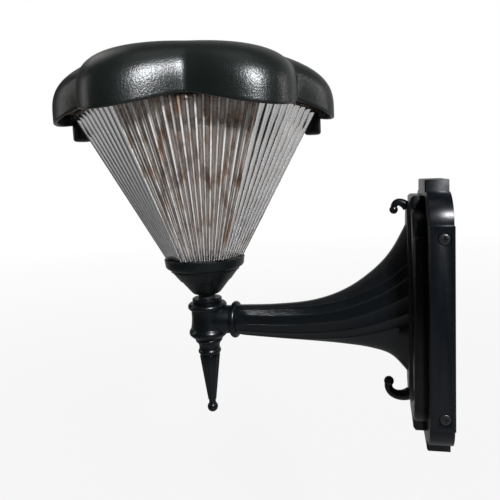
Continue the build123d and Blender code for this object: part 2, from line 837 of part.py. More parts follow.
with BuildPart() as lens_cup:
    with BuildSketch(head_side()):
        with BuildLine():
            Polyline(
                (rod_radius + run_fit, cup_foot_height),
                (cup_foot_radius, cup_foot_height),
                (cup_lip_radius, cup_lip_height),
                (cup_groove_radius, cup_lip_height + cup_groove_rise),
                (cup_groove_radius + cup_groove_step, cup_lip_height + cup_groove_rise),
                (cup_step_radius - cup_groove_step, step_foot - cup_edge),
                (cup_step_radius, step_foot - cup_edge),
                (cup_step_radius, step_foot),
                (cup_band_radius - cup_band_lip, band_foot - cup_edge),
                (cup_band_radius, band_foot),
                (cup_top_radius, cup_top),
                (lens_spigot_radius + seat_gap, cup_top),
                (lens_spigot_radius + seat_gap, spigot_bottom - seat_gap),
                (cup_inside(spigot_bottom - seat_gap) - cup_inner_draw, spigot_bottom - seat_gap),
                (cup_inside(floor_top), floor_top),
                (rod_radius + run_fit, floor_top),
                close=True,
            )
        make_face()
    revolve(axis=lamp_axis())
    with BuildSketch(head_plane(spigot_bottom - seat_gap)):
        with PolarLocations(cup_screw_circle, cup_screw_count, start_angle=90):
            Circle(cup_post_radius)
    extrude(amount=-cup_post_length)
    with BuildSketch(head_plane(spigot_bottom - seat_gap)):
        with PolarLocations(cup_screw_circle, cup_screw_count, start_angle=90):
            Circle(cup_screw_radius + thread_play)
    extrude(amount=-cup_post_hole, mode=Mode.SUBTRACT)
lens_cup.part.label = "lens_cup"

with BuildPart() as cup_seal_ring:
    with BuildSketch(head_plane(cup_top)):
        Circle(lens_base_radius * hexagon_share)
        Circle(lens_spigot_radius + seat_gap, mode=Mode.SUBTRACT)
    extrude(amount=cup_seal)
cup_seal_ring.part.label = "cup_seal"

cup_spots = ring_spots(cup_screw_circle, cup_screw_count, 90)
cup_screws = pan_screws(
    head_plane(lens_base_height + lens_floor), cup_spots, cup_screw, "cup_screws"
)

# ---- Rod, nut, washer, bush ----
washer_bottom = floor_top + turn_gap
finial_top = tee_bottom - finial_play
rod_top = washer_bottom + washer_thickness + nut_height + rod_top_spare
rod_bottom = finial_top - rod_grip
with BuildPart() as through_rod:
    with BuildSketch(head_plane(rod_bottom)):
        Circle(rod_radius)
    extrude(amount=rod_top - rod_bottom)
    chamfer(through_rod.edges().filter_by(GeomType.CIRCLE), rod_chamfer)
through_rod.part.label = "through_rod"

with BuildPart() as rod_washer:
    with BuildSketch(head_plane(washer_bottom)):
        Circle(washer_radius)
        Circle(rod_radius + bush_bore_play, mode=Mode.SUBTRACT)
    extrude(amount=washer_thickness)
rod_washer.part.label = "rod_washer"

with BuildPart() as rod_nut:
    with BuildSketch(head_plane(washer_bottom + washer_thickness)):
        RegularPolygon(nut_across / 2, sides, major_radius=False)
        Circle(rod_radius, mode=Mode.SUBTRACT)
    extrude(amount=nut_height)
rod_nut.part.label = "rod_nut"

with BuildPart() as neck_bush:
    with BuildSketch(head_plane(tee_top)):
        Circle(bush_radius)
        Circle(rod_radius + bush_bore_play, mode=Mode.SUBTRACT)
    extrude(amount=bush_height)
neck_bush.part.label = "neck_bush"

# ---- Tee body ----
with BuildPart() as tee_body:
    with BuildSketch(head_side()):
        with BuildLine():
            neck = tee_collar_radius - tee_collar_edge
            Polyline(
                (0, tee_top), (neck, tee_top), (tee_collar_radius, tee_top - tee_collar_edge),
                (tee_collar_radius, tee_top - tee_collar_height + tee_collar_edge),
                (neck, tee_top - tee_collar_height), (neck, tee_bead_half),
            )
            ThreePointArc(
                (neck, tee_bead_half), (tee_bead_radius, 0), (tee_waist_radius, -tee_bead_half)
            )
            ThreePointArc(
                (tee_waist_radius, -tee_bead_half),
                (tee_waist_radius - tee_waist_hollow, tee_waist_height),
                (tee_skirt_radius, tee_skirt_height),
            )
            Spline(
                (tee_skirt_radius, tee_skirt_height), (tee_flare_radius, tee_flare_height),
                (tee_roll_radius, tee_roll_height),
            )
            Polyline(
                (tee_roll_radius, tee_roll_height), (tee_bottom_radius, tee_bottom),
                (0, tee_bottom), (0, tee_top),
            )
        make_face()
    revolve(axis=lamp_axis())
    with BuildSketch(cross_plane(lamp_reach, arm_axis_height)):
        Circle(stub_radius)
    extrude(amount=stub_end)
    with BuildSketch(cross_plane(lamp_reach, arm_axis_height)):
        Circle(spigot_radius)
    extrude(amount=stub_end + spigot_length)
    with BuildSketch(head_plane(tee_top + cut_over)):
        Circle(rod_radius + bush_bore_play)
    extrude(amount=tee_bottom - tee_top - 2 * cut_over, mode=Mode.SUBTRACT)
tee_body.part.label = "tee_body"

# ---- Finial ----
ring_foot = finial_top - finial_ring_height
finial_waist = ring_foot - finial_waist_drop
finial_bead = finial_waist - finial_bead_drop
finial_cone_top = finial_top - finial_cone_drop
finial_cone_bottom = finial_cone_top - finial_cone_length
finial_ball_height = finial_cone_bottom - finial_ball_drop
with BuildPart() as finial:
    with BuildSketch(head_side()):
        with BuildLine():
            ring_edge = (finial_ring_radius - finial_ring_roll, finial_top)
            ring_end = (finial_ring_radius - finial_ring_foot, ring_foot)
            bead_start = (finial_bead_radius - finial_bead_roll, finial_bead + finial_bead_rise)
            bead_end = (finial_bead_radius - finial_bead_foot, finial_bead - finial_bead_fall)
            core = finial_tip_radius - finial_flute_rise
            Polyline((0, finial_top), ring_edge)
            ThreePointArc(ring_edge, (finial_ring_radius, (finial_top + ring_foot) / 2), ring_end)
            ThreePointArc(ring_end, (finial_waist_radius, finial_waist), bead_start)
            ThreePointArc(bead_start, (finial_bead_radius, finial_bead), bead_end)
            Polyline(
                bead_end, (finial_cone_radius - 2 * finial_flute_rise, finial_cone_top),
                (core, finial_cone_bottom), (core, finial_ball_height), (0, finial_ball_height),
                (0, finial_top),
            )
        make_face()
    revolve(axis=lamp_axis())
    for level, radius in (
        (finial_cone_top, finial_cone_radius),
        (finial_cone_bottom, finial_tip_radius),
    ):
        with BuildSketch(head_plane(level)):
            with BuildLine():
                flute_step = 360 / finial_flutes
                for flute in range(finial_flutes):
                    angle = flute * flute_step
                    root = radius - finial_flute_rise * radius / finial_cone_radius
                    ThreePointArc(
                        polar(root, angle), polar(radius, angle + flute_step / 2),
                        polar(root, angle + flute_step),
                    )
            make_face()
    loft(ruled=True)
    with Locations((lamp_x, 0, finial_ball_height)):
        Sphere(finial_ball_radius)
    with BuildSketch(head_plane(finial_top + cut_over)):
        Circle(rod_radius + run_fit)
    extrude(amount=-rod_grip - cut_over - seat_gap, mode=Mode.SUBTRACT)
finial.part.label = "finial"

# ---- Collar and arm ----
collar_start = lamp_reach - stub_end
with BuildPart() as arm_collar:
    with BuildSketch(Plane.XZ):
        with BuildLine():
            left = -collar_start
            right = left + collar_width
            low = arm_axis_height + spigot_radius + seat_gap
            top = arm_axis_height + collar_radius
            back = top - collar_bead
            Polyline((right, back), (right, low), (left, low), (left, back))
            ThreePointArc((left, back), ((left + right) / 2, top), (right, back))
        make_face()
    revolve(axis=Axis((0, 0, arm_axis_height), (1, 0, 0)))
arm_collar.part.label = "arm_collar"


def arm_section(above, below, half_width, spread):
    # Oval section with ridges between hollow flutes; spread is 0 at the lamp and 1 at the wall.
    half_height = (above + below) / 2
    middle = arm_axis_height + (above - below) / 2
    top = middle + half_height
    bottom = middle - half_height

    def on_oval(level, side, rise=0.0):
        across = side * (half_width + rise) * math.sqrt(max(1 - level**2, 0))
        return (across, middle + (half_height + rise) * level)

    levels = []
    for angle in crease_angles:
        round_level = math.cos(math.radians(angle))
        levels.append((1 - spread) * round_level + spread * (fan_middle + fan_share * round_level))
    for side in (1, -1):
        for upper, lower in zip(levels, levels[1:]):
            hollow = on_oval((upper + lower) / 2, side, -flute_depth)
            ThreePointArc(on_oval(upper, side), hollow, on_oval(lower, side))
    crown = [(levels[0] + 1) / 2, (levels[0] + 3) / 4]
    keel = [(levels[-1] - 1) / 2, (levels[-1] - 3) / 4]
    Spline(
        on_oval(levels[0], -1), on_oval(crown[0], -1), on_oval(crown[1], -1), (0, top),
        on_oval(crown[1], 1), on_oval(crown[0], 1), on_oval(levels[0], 1),
    )
    Spline(
        on_oval(levels[-1], -1), on_oval(keel[0], -1), on_oval(keel[1], -1), (0, bottom),
        on_oval(keel[1], 1), on_oval(keel[0], 1), on_oval(levels[-1], 1),
    )


arm_screw_spots = [
    (side * arm_screw_spread, height)
    for side in (-1, 1)
    for height in (arm_screw_bottom, arm_screw_top)
]
arm_end = collar_start - collar_width
arm_length = arm_end - front_face - flange_thickness + arm_bed
with BuildPart() as fluted_arm:
    for share, above, below, half_width in arm_stations:
        with BuildSketch(cross_plane(arm_end - share * arm_length)):
            with BuildLine():
                arm_section(above, below, half_width, share**2)
            make_face()
    loft()
    with BuildSketch(cross_plane(front_face + flange_thickness, (flange_top + flange_bottom) / 2)):
        SlotOverall(flange_top - flange_bottom, 2 * flange_half_width, rotation=90)
    extrude(amount=flange_thickness)
    with BuildSketch(cross_plane(front_face + arm_core_length, arm_axis_height)):
        Circle(arm_core_tip)
    with BuildSketch(cross_plane(front_face, arm_axis_height)):
        Circle(arm_core_root)
    loft(mode=Mode.SUBTRACT)
    with BuildSketch(cross_plane(arm_end + cut_over, arm_axis_height)):
        Circle(spigot_radius + run_fit)
    extrude(amount=spigot_length - collar_width + 2 * cut_over, mode=Mode.SUBTRACT)
    root = -front_face - flange_thickness / 2
    with BuildLine(Plane.XZ) as top_path:
        tip = (-scroll_top_reach, scroll_top_height)
        TangentArc((root, scroll_top_height + scroll_top_drop), tip, tangent=(-1, 0))
    with BuildSketch(Plane(origin=top_path.line @ 0, z_dir=top_path.line % 0)):
        Circle(scroll_top_radius)
    sweep(path=top_path.line)
    with BuildLine(Plane.XZ) as low_path:
        low_tip = (-scroll_low_reach, scroll_low_height)
        TangentArc((root, scroll_low_height - scroll_low_drop), low_tip, tangent=(-1, 0))
    with BuildSketch(Plane(origin=low_path.line @ 0, z_dir=low_path.line % 0)):
        Circle(scroll_low_radius)
    sweep(path=low_path.line)
    with Locations((-scroll_top_reach, 0, scroll_top_height)):
        Sphere(scroll_top_ball)
    with Locations((-scroll_low_reach, 0, scroll_low_height)):
        Sphere(scroll_low_ball)
    with BuildSketch(cross_plane(front_face)):
        with Locations(*arm_screw_spots):
            Circle(arm_boss_radius)
    extrude(amount=arm_boss_length)
    with BuildSketch(cross_plane(front_face + flange_thickness / 2)):
        with Locations(*arm_screw_spots):
            Circle(arm_screw_radius + thread_play)
    extrude(amount=arm_boss_length + flange_thickness, mode=Mode.SUBTRACT)
    with BuildSketch(Plane.XY.offset(arm_axis_height)):
        with Locations((lamp_x + set_screw_place, 0)):
            Circle(set_screw_radius)
    extrude(amount=-2 * arm_stations[0][3], mode=Mode.SUBTRACT)
fluted_arm.part.label = "fluted_arm"

with BuildPart() as arm_set_screw:
    with BuildSketch(Plane.XY.offset(arm_axis_height - spigot_radius)):
        with Locations((lamp_x + set_screw_place, 0)):
            Circle(set_screw_radius)
    extrude(amount=-set_screw_length)
    with BuildSketch(Plane.XY.offset(arm_axis_height - spigot_radius - set_screw_length)):
        with Locations((lamp_x + set_screw_place, 0)):
            RegularPolygon(set_screw_socket, sides)
    extrude(amount=set_screw_socket_depth, mode=Mode.SUBTRACT)
arm_set_screw.part.label = "arm_set_screw"


# ---- Wall plate ----
def stepped_edges(half_width, half_height, shoulder_width, shoulder_height, block_width, block_height):
    # Block with a quarter-round shoulder and a narrow block above and below.
    for up in (1, -1):
        for side in (1, -1):
            Line((side * half_width, 0), (side * half_width, up * half_height))
            Line((side * half_width, up * half_height), (side * shoulder_width, up * half_height))
            EllipticalCenterArc(
                (side * block_width, up * half_height),
                shoulder_width - block_width,
                shoulder_height - half_height,
                start_angle={(1, 1): 0, (-1, 1): 90, (-1, -1): 180, (1, -1): 270}[(side, up)],
                arc_size=90,
            )
            Line((side * block_width, up * shoulder_height), (side * block_width, up * block_height))
        Line((-block_width, up * block_height), (block_width, up * block_height))


side_spots = [(-side_screw_depth, height) for height in (-side_screw_height, side_screw_height)]
with BuildPart() as back_plate:
    with BuildSketch(cross_plane(back_front_face)):
        with BuildLine():
            stepped_edges(
                back_half_width, back_half_height, back_shoulder_width, back_shoulder_height,
                back_block_width, back_block_height,
            )
        make_face()
    extrude(amount=back_front_face)
    chamfer(back_plate.faces().sort_by(Axis.X)[0].edges(), back_bevel)
    with BuildSketch(cross_plane(back_front_face - back_wall)):
        with BuildLine():
            stepped_edges(
                back_half_width - back_wall, back_half_height - back_wall,
                back_shoulder_width - back_wall, back_shoulder_height - back_wall,
                back_block_width - back_wall, back_block_height - back_wall,
            )
        make_face()
    extrude(amount=back_front_face, mode=Mode.SUBTRACT)
    with BuildSketch(cross_plane(back_front_face + cut_over)):
        with Locations(*arm_screw_spots):
            Circle(arm_screw_radius + screw_play)
    extrude(amount=back_wall + 2 * cut_over, mode=Mode.SUBTRACT)
    with BuildSketch(Plane.XZ.offset(-back_half_width - cut_over)):
        with Locations(*side_spots):
            Circle(side_screw_radius + screw_play)
    extrude(amount=2 * back_half_width + 2 * cut_over, mode=Mode.SUBTRACT)
    for side in (-1, 1):
        with BuildSketch(Plane.XZ.offset(side * back_half_width)):
            with Locations(*side_spots):
                Circle(side_screw_head + seat_gap)
        extrude(amount=-side * side_screw_sink, mode=Mode.SUBTRACT)
back_plate.part.label = "back_plate"

with BuildPart() as front_plate:
    with BuildSketch(cross_plane(front_face)):
        with BuildLine():
            stepped_edges(
                front_half_width, front_half_height, front_shoulder_width, front_shoulder_height,
                front_block_width, front_block_height,
            )
        make_face()
    extrude(amount=front_face - back_front_face)
    chamfer(front_plate.faces().sort_by(Axis.X)[0].edges(), front_bevel)
    with BuildSketch(cross_plane(front_face - front_wall)):
        with BuildLine():
            stepped_edges(
                front_half_width - front_wall, front_half_height - front_wall,
                front_shoulder_width - front_wall, front_shoulder_height - front_wall,
                front_block_width - front_wall, front_block_height - front_wall,
            )
        make_face()
    extrude(amount=front_face, mode=Mode.SUBTRACT)
    with BuildSketch(cross_plane(front_face - front_wall)):
        with Locations(*arm_screw_spots):
            Circle(front_boss_radius)
    extrude(amount=front_face - front_wall - back_front_face)
    with BuildSketch(cross_plane(front_face + cut_over)):
        with Locations(*arm_screw_spots):
            Circle(arm_boss_radius + seat_gap)
    extrude(amount=cut_over + arm_boss_length + seat_gap, mode=Mode.SUBTRACT)
    with BuildSketch(cross_plane(front_face)):
        with Locations(*arm_screw_spots):
            Circle(arm_screw_radius + screw_play)
    extrude(amount=front_face - back_front_face + cut_over, mode=Mode.SUBTRACT)
front_plate.part.label = "front_plate"

arm_screw_length = front_face - back_front_face + back_wall
arm_screw = (arm_screw_head, arm_screw_head_height, arm_screw_radius, arm_screw_length)
arm_screws = pan_screws(
    cross_plane(back_front_face - back_wall), arm_screw_spots, arm_screw, "arm_screws"
)

strap_half_height = back_half_height - back_wall - strap_end_play
with BuildPart() as wall_strap:
    with BuildSketch(cross_plane(strap_thickness)):
        Rectangle(2 * strap_waist, 2 * strap_half_height)
        with Locations((0, side_screw_height), (0, -side_screw_height)):
            Rectangle(2 * (back_half_width - back_wall - seat_gap), 2 * ear_half_height)
        with Locations((0, wall_hole_spacing / 2), (0, -wall_hole_spacing / 2)):
            Circle(wall_hole_radius, mode=Mode.SUBTRACT)
        Circle(strap_hole_radius, mode=Mode.SUBTRACT)
    extrude(amount=strap_thickness)
    for side in (-1, 1):
        middle = side * (back_half_width - back_wall - seat_gap - ear_thickness / 2)
        with BuildSketch(cross_plane(ear_depth)):
            with Locations((middle, side_screw_height), (middle, -side_screw_height)):
                Rectangle(ear_thickness, 2 * ear_half_height)
        extrude(amount=ear_depth)
    with BuildSketch(Plane.XZ.offset(-back_half_width)):
        with Locations(*side_spots):
            Circle(side_screw_radius)
    extrude(amount=2 * back_half_width, mode=Mode.SUBTRACT)
wall_strap.part.label = "wall_strap"

near_side = Plane(origin=(0, -back_half_width + side_screw_sink, 0), x_dir=(1, 0, 0), z_dir=(0, -1, 0))
far_side = Plane(origin=(0, back_half_width - side_screw_sink, 0), x_dir=(1, 0, 0), z_dir=(0, 1, 0))
far_spots = [(place[0], -place[1]) for place in side_spots]
side_screw = (side_screw_head, side_screw_head_height, side_screw_radius, side_screw_length)
near_screws = pan_screws(near_side, side_spots, side_screw, "side_screws")
far_screws = pan_screws(far_side, far_spots, side_screw, "side_screws")
side_screws = Compound(children=[*near_screws.solids(), *far_screws.solids()])
side_screws.label = "side_screws"

nodes = [
    petal_cap.part, panel_gasket.part, panel_backing.part, solar_cells.part, panel_glass.part,
    ribbed_lens.part, lens_gasket.part, lamp_tray.part, tray_screws, light_board.part,
    light_chips.part, board_screws, button_bezel.part, power_button.part, switch_body.part,
    battery_holder.part, battery_cell.part, battery_contacts.part, battery_strap.part,
    control_board.part, control_parts.part, control_screws, *knob_nodes.values(),
    stud_inserts.part, lens_cup.part, cup_seal_ring.part, cup_screws, through_rod.part,
    rod_washer.part, rod_nut.part, neck_bush.part, tee_body.part, finial.part, arm_collar.part,
    fluted_arm.part, arm_set_screw.part, back_plate.part, front_plate.part, arm_screws,
    wall_strap.part, side_screws,
]
os.makedirs("parts", exist_ok=True)
for node in nodes:
    export_step(node, "parts/" + node.label + ".step")
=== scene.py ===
import json
import math

import bmesh
import bpy
from mathutils import Matrix, Vector


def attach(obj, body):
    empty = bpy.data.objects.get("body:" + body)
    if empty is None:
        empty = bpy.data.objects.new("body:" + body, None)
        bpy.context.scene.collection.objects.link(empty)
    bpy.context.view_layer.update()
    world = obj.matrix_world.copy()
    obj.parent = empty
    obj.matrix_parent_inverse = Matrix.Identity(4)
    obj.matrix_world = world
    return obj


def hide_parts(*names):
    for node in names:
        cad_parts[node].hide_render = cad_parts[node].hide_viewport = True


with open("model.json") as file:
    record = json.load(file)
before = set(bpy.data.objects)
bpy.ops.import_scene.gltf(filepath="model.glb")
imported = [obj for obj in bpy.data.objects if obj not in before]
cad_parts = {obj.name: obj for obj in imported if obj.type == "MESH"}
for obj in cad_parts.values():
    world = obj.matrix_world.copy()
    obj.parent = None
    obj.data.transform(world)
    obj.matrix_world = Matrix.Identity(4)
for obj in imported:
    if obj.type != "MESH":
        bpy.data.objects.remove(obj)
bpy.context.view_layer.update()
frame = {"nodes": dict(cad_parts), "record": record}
bodies = frame["record"]["behaviour"]["bodies"]
bodyOf = {node: body for body, members in bodies.items() for node in members}
mm = 0.001
lampX = -181.3  # lamp axis, mm from the wall face
headTurn = math.radians(15.5)  # from +X to the middle of the first petal
print("frame loaded,", len(frame["nodes"]), "nodes")


def headPoint(radius, angle, height):
    # Point on the lamp head, from mm round its axis.
    turn = angle + headTurn
    return Vector((lampX + radius * math.cos(turn), radius * math.sin(turn), height)) * mm


def fullTurn(count):
    return [2 * math.pi * k / count for k in range(count)]


def editMesh(mesh, merge=0.0, flatAngle=0.0, outwards=True):
    # Merges doubles, dissolves edges flatter than an angle and turns the faces outwards.
    work = bmesh.new()
    work.from_mesh(mesh)
    if merge:
        bmesh.ops.remove_doubles(work, verts=work.verts, dist=merge)
    if flatAngle:
        limit = math.radians(flatAngle)
        bmesh.ops.dissolve_limit(work, angle_limit=limit, verts=work.verts, edges=work.edges)
    if outwards:
        bmesh.ops.recalc_face_normals(work, faces=work.faces)
    work.to_mesh(mesh)
    work.free()


def linkPiece(name, mesh):
    piece = bpy.data.objects.new(name, mesh)
    bpy.context.scene.collection.objects.link(piece)
    return piece


def plainPiece(name, vertices, faces, smooth=True):
    # Every vertex stays as given, so that values can be stored on it.
    mesh = bpy.data.meshes.new(name)
    mesh.from_pydata([tuple(v) for v in vertices], [], faces)
    for polygon in mesh.polygons:
        polygon.use_smooth = smooth
    return linkPiece(name, mesh)


def newPiece(name, vertices, faces, smooth=True):
    piece = plainPiece(name, vertices, faces, smooth)
    piece.data.validate()
    editMesh(piece.data, merge=2e-6)
    return piece


def ringShell(rings, closed=False, poles=(None, None)):
    # Joins rings of equally many points into a skin; a pole closes an end.
    count = len(rings[0])
    vertices = [point for ring in rings for point in ring]
    faces = []
    pairs = len(rings) if closed else len(rings) - 1
    for row in range(pairs):
        a, b = row * count, ((row + 1) % len(rings)) * count
        faces += [(a + k, a + (k + 1) % count, b + (k + 1) % count, b + k) for k in range(count)]
    for pole, start in zip(poles, (0, (len(rings) - 1) * count)):
        if pole is not None:
            vertices.append(pole)
            last = len(vertices) - 1
            faces += [(last, start + k, start + (k + 1) % count) for k in range(count)]
    return vertices, faces


def addSkin(vertices, faces, more, skin):
    faces += [tuple(len(vertices) + index for index in face) for face in skin]
    vertices += more


def bake(piece):
    # Turns the piece with its modifiers into a plain mesh.
    bpy.context.view_layer.update()
    graph = bpy.context.evaluated_depsgraph_get()
    solved = piece.evaluated_get(graph)
    mesh = bpy.data.meshes.new_from_object(solved, preserve_all_data_layers=True, depsgraph=graph)
    piece.modifiers.clear()
    piece.data = mesh
    return piece


def sharpen(piece, degrees):
    for polygon in piece.data.polygons:
        polygon.use_smooth = True
    piece.data.set_sharp_from_angle(angle=math.radians(degrees))


def place(piece, material, node):
    # The piece stands for that CAD node and moves with its body.
    piece.data.materials.clear()
    piece.data.materials.append(material)
    for polygon in piece.data.polygons:
        polygon.material_index = 0
    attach(piece, bodyOf[node])
    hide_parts(node)


# Building blocks of the materials.
def addNode(tree, kind, **values):
    node = tree.nodes.new(kind)
    for key, value in values.items():
        setattr(node, key, value)
    return node


def startMaterial(name):
    material = bpy.data.materials.new(name)
    material.use_nodes = True
    tree = material.node_tree
    tree.nodes.clear()
    shader = tree.nodes.new("ShaderNodeBsdfPrincipled")
    output = tree.nodes.new("ShaderNodeOutputMaterial")
    tree.links.new(shader.outputs[0], output.inputs[0])
    where = tree.nodes.new("ShaderNodeTexCoord").outputs["Object"]
    return material, tree, shader, where


def noise(tree, where, scale, detail=2.0, rough=0.5):
    texture = addNode(tree, "ShaderNodeTexNoise")
    texture.inputs["Scale"].default_value = scale
    texture.inputs["Detail"].default_value = detail
    texture.inputs["Roughness"].default_value = rough
    tree.links.new(where, texture.inputs["Vector"])
    return texture.outputs["Fac"]


def span(tree, value, start, end, low, high):
    # Maps start to end onto low to high, and stops at both ends.
    node = addNode(tree, "ShaderNodeMapRange", clamp=True)
    for name, number in (("From Min", start), ("From Max", end), ("To Min", low), ("To Max", high)):
        node.inputs[name].default_value = number
    tree.links.new(value, node.inputs["Value"])
    return node.outputs["Result"]


def colourRamp(tree, factor, stops):
    ramp = addNode(tree, "ShaderNodeValToRGB")
    while len(ramp.color_ramp.elements) < len(stops):
        ramp.color_ramp.elements.new(0.5)
    for element, (position, colour) in zip(ramp.color_ramp.elements, stops):
        element.position = position
        element.color = (*colour, 1)
    tree.links.new(factor, ramp.inputs["Fac"])
    return ramp.outputs["Color"]


def patches(tree, where, scale, detail, dark, light):
    # Soft patches of two close tones.
    return colourRamp(tree, noise(tree, where, scale, detail), ((0.3, dark), (0.7, light)))


def multiply(tree, tone, factor, colour):
    # Darkens the tone by a colour, as far as the factor says.
    mix = addNode(tree, "ShaderNodeMix", data_type="RGBA", blend_type="MULTIPLY")
    tree.links.new(factor, mix.inputs[0])
    tree.links.new(tone, mix.inputs[6])
    mix.inputs[7].default_value = (*colour, 1)
    return mix.outputs[2]


def mapped(tree, where, name, value):
    mapping = addNode(tree, "ShaderNodeMapping")
    mapping.inputs[name].default_value = value
    tree.links.new(where, mapping.inputs["Vector"])
    return mapping.outputs["Vector"]


def addBump(tree, shader, height, strength, deep):
    bump = addNode(tree, "ShaderNodeBump")
    bump.inputs["Strength"].default_value = strength
    bump.inputs["Distance"].default_value = deep * mm
    tree.links.new(height, bump.inputs["Height"])
    tree.links.new(bump.outputs["Normal"], shader.inputs["Normal"])


def shade(colour, amount):
    return tuple(min(1.0, value * amount) for value in colour)


usualLook = {
    "roughSpread": 0.06, "wearScale": 180, "metal": 0.0, "gloss": 0.5, "mottle": 0.15, "mottleScale": 60,
    "grain": 0.2, "grainScale": 900, "grainHeight": 0.1,
}


def finish(name, ownLook):
    # Paint, plastic or metal with grain, mottling and uneven gloss.
    look = {**usualLook, **ownLook}
    material, tree, shader, where = startMaterial(name)
    dark, light = (shade(look["colour"], 1 + side * look["mottle"]) for side in (-1, 1))
    mottle = patches(tree, where, look["mottleScale"], 3, dark, light)
    tree.links.new(mottle, shader.inputs["Base Color"])
    wear = noise(tree, where, look["wearScale"], 4, 0.6)
    low, high = look["rough"] - look["roughSpread"], look["rough"] + look["roughSpread"]
    tree.links.new(span(tree, wear, 0, 1, low, high), shader.inputs["Roughness"])
    shader.inputs["Metallic"].default_value = look["metal"]
    shader.inputs["Specular IOR Level"].default_value = look["gloss"]
    addBump(tree, shader, noise(tree, where, look["grainScale"], 2), look["grain"], look["grainHeight"])
    return material


finishes = {
    "capPaint": {"colour": (0.0052, 0.0075, 0.0064), "rough": 0.31, "roughSpread": 0.02, "gloss": 0.55,
                 "grain": 1.0, "grainScale": 1100, "grainHeight": 0.19},
    "cupPaint": {"colour": (0.0026, 0.0046, 0.0048), "rough": 0.36, "gloss": 0.32,
                 "grain": 0.35, "grainScale": 1000, "grainHeight": 0.05},
    "armPaint": {"colour": (0.0020, 0.0032, 0.0042), "rough": 0.30, "gloss": 0.38,
                 "grain": 0.18, "grainScale": 700, "grainHeight": 0.04},
    "platePaint": {"colour": (0.0016, 0.0026, 0.0042), "rough": 0.30, "gloss": 0.36,
                   "grain": 0.5, "grainScale": 1100, "grainHeight": 0.07},
    "blackSteel": {"colour": (0.012, 0.012, 0.013), "rough": 0.34, "grain": 0.3},
    "brightSteel": {"colour": (0.56, 0.56, 0.55), "metal": 1.0, "rough": 0.28, "grain": 0.15, "mottle": 0.08},
    "zincPlate": {"colour": (0.46, 0.47, 0.49), "metal": 1.0, "rough": 0.42, "mottle": 0.25, "mottleScale": 220},
    "brass": {"colour": (0.62, 0.45, 0.19), "metal": 1.0, "rough": 0.3},
    "nickel": {"colour": (0.62, 0.59, 0.54), "metal": 1.0, "rough": 0.22},
    "sealRubber": {"colour": (0.022, 0.022, 0.022), "rough": 0.75, "grain": 0.5},
    "blackPlastic": {"colour": (0.018, 0.018, 0.019), "rough": 0.45, "grain": 0.35},
    "knobPlastic": {"colour": (0.012, 0.013, 0.013), "rough": 0.4, "grain": 0.35},
    "redPlastic": {"colour": (0.55, 0.012, 0.020), "rough": 0.25, "mottle": 0.08},
    "whiteBoard": {"colour": (0.62, 0.62, 0.60), "rough": 0.5, "mottle": 0.06},
    "backingBoard": {"colour": (0.70, 0.70, 0.66), "rough": 0.6, "mottle": 0.05},
    "phosphor": {"colour": (0.78, 0.56, 0.10), "rough": 0.35, "mottle": 0.08},
    # tray paint, partly painted reflection: its dark brown strong patches stand in for the warm streaks seen
    # through the lens
    "trayPaintAndReflection": {"colour": (0.24, 0.165, 0.115), "rough": 0.38, "mottle": 0.35, "mottleScale": 26,
                  "grain": 0.3},
    "cellSleeve": {"colour": (0.06, 0.26, 0.18), "rough": 0.3, "mottle": 0.06},
    "greenBoard": {"colour": (0.02, 0.14, 0.05), "rough": 0.35, "mottle": 0.2, "mottleScale": 400},
    "bushNylon": {"colour": (0.014, 0.014, 0.015), "rough": 0.45, "mottle": 0.1},
}
materials = {name: finish(name, look) for name, look in finishes.items()}

lensLook = {
    "rough": 0.02, "ior": 1.49,
    # tone and clearness from the groove, 0, to the top of the rib, 1: a milky line of painted highlight, then a
    # dark line of painted shade for the dark cap seen through the rib, then clear
    "tones": (
        (0.0, (0.86, 0.84, 0.82)), (0.17, (0.86, 0.84, 0.82)), (0.30, (0.21, 0.18, 0.16)),
        (0.60, (0.57, 0.525, 0.495)), (0.86, (0.60, 0.57, 0.545)), (0.955, (0.21, 0.18, 0.16)),
        (0.985, (0.86, 0.84, 0.82)),
    ),
    "clearness": ((0.0, 0.16), (0.17, 0.22), (0.30, 0.93), (0.95, 0.93), (0.985, 0.5)),
    # painted shade: seen at a slant the lens is darkened far more than its thicker wall would: colour, where
    # that starts and where it is full
    "aslantShade": ((0.80, 0.77, 0.74), 0.22, 0.55),
    # painted reflections, tall warm and dark streaks: colour, noise scale, where a streak starts and its
    # strength
    "reflectionBands": (((0.52, 0.34, 0.22), (150, 150, 9), 0.52, 0.9), ((0.34, 0.30, 0.28), (210, 210, 14), 0.55, 0.8)),
    "bandEdge": 0.13,
}
panelLook = {"rough": 0.02, "ior": 1.5, "tint": (0.93, 0.95, 0.96), "tintScale": 90, "darker": 0.97}
clearUnevenness = {
    "roughScale": 240, "roughLow": 0.5, "roughHigh": 1.6,  # shares of the look's roughness
    "waveScale": 160, "wave": 0.1, "waveHeight": 0.02,
}


def ribbedTone(tree, shader, where, look):
    # The tone across each rib, with painted highlight lines and painted dark lines, then painted shade where the
    # lens is seen at a slant and painted reflection streaks; its clearness goes straight to the shader.
    stripe = addNode(tree, "ShaderNodeAttribute", attribute_name="ribShare").outputs["Fac"]
    clear = colourRamp(tree, stripe, [(share, (amount,) * 3) for share, amount in look["clearness"]])
    tree.links.new(clear, shader.inputs["Transmission Weight"])
    # painted highlight lines and painted shade lines across each rib
    tone = colourRamp(tree, stripe, look["tones"])
    # painted shade where the lens is seen at a slant
    colour, start, end = look["aslantShade"]
    facing = addNode(tree, "ShaderNodeLayerWeight").outputs["Facing"]
    tone = multiply(tree, tone, span(tree, facing, start, end, 0.0, 1.0), colour)
    # painted reflections: tall warm and dark streaks over the lens
    for colour, scale, start, amount in look["reflectionBands"]:
        patch = noise(tree, mapped(tree, where, "Scale", scale), 1.0, 3)
        tone = multiply(tree, tone, span(tree, patch, start, start + look["bandEdge"], 0.0, amount), colour)
    return tone


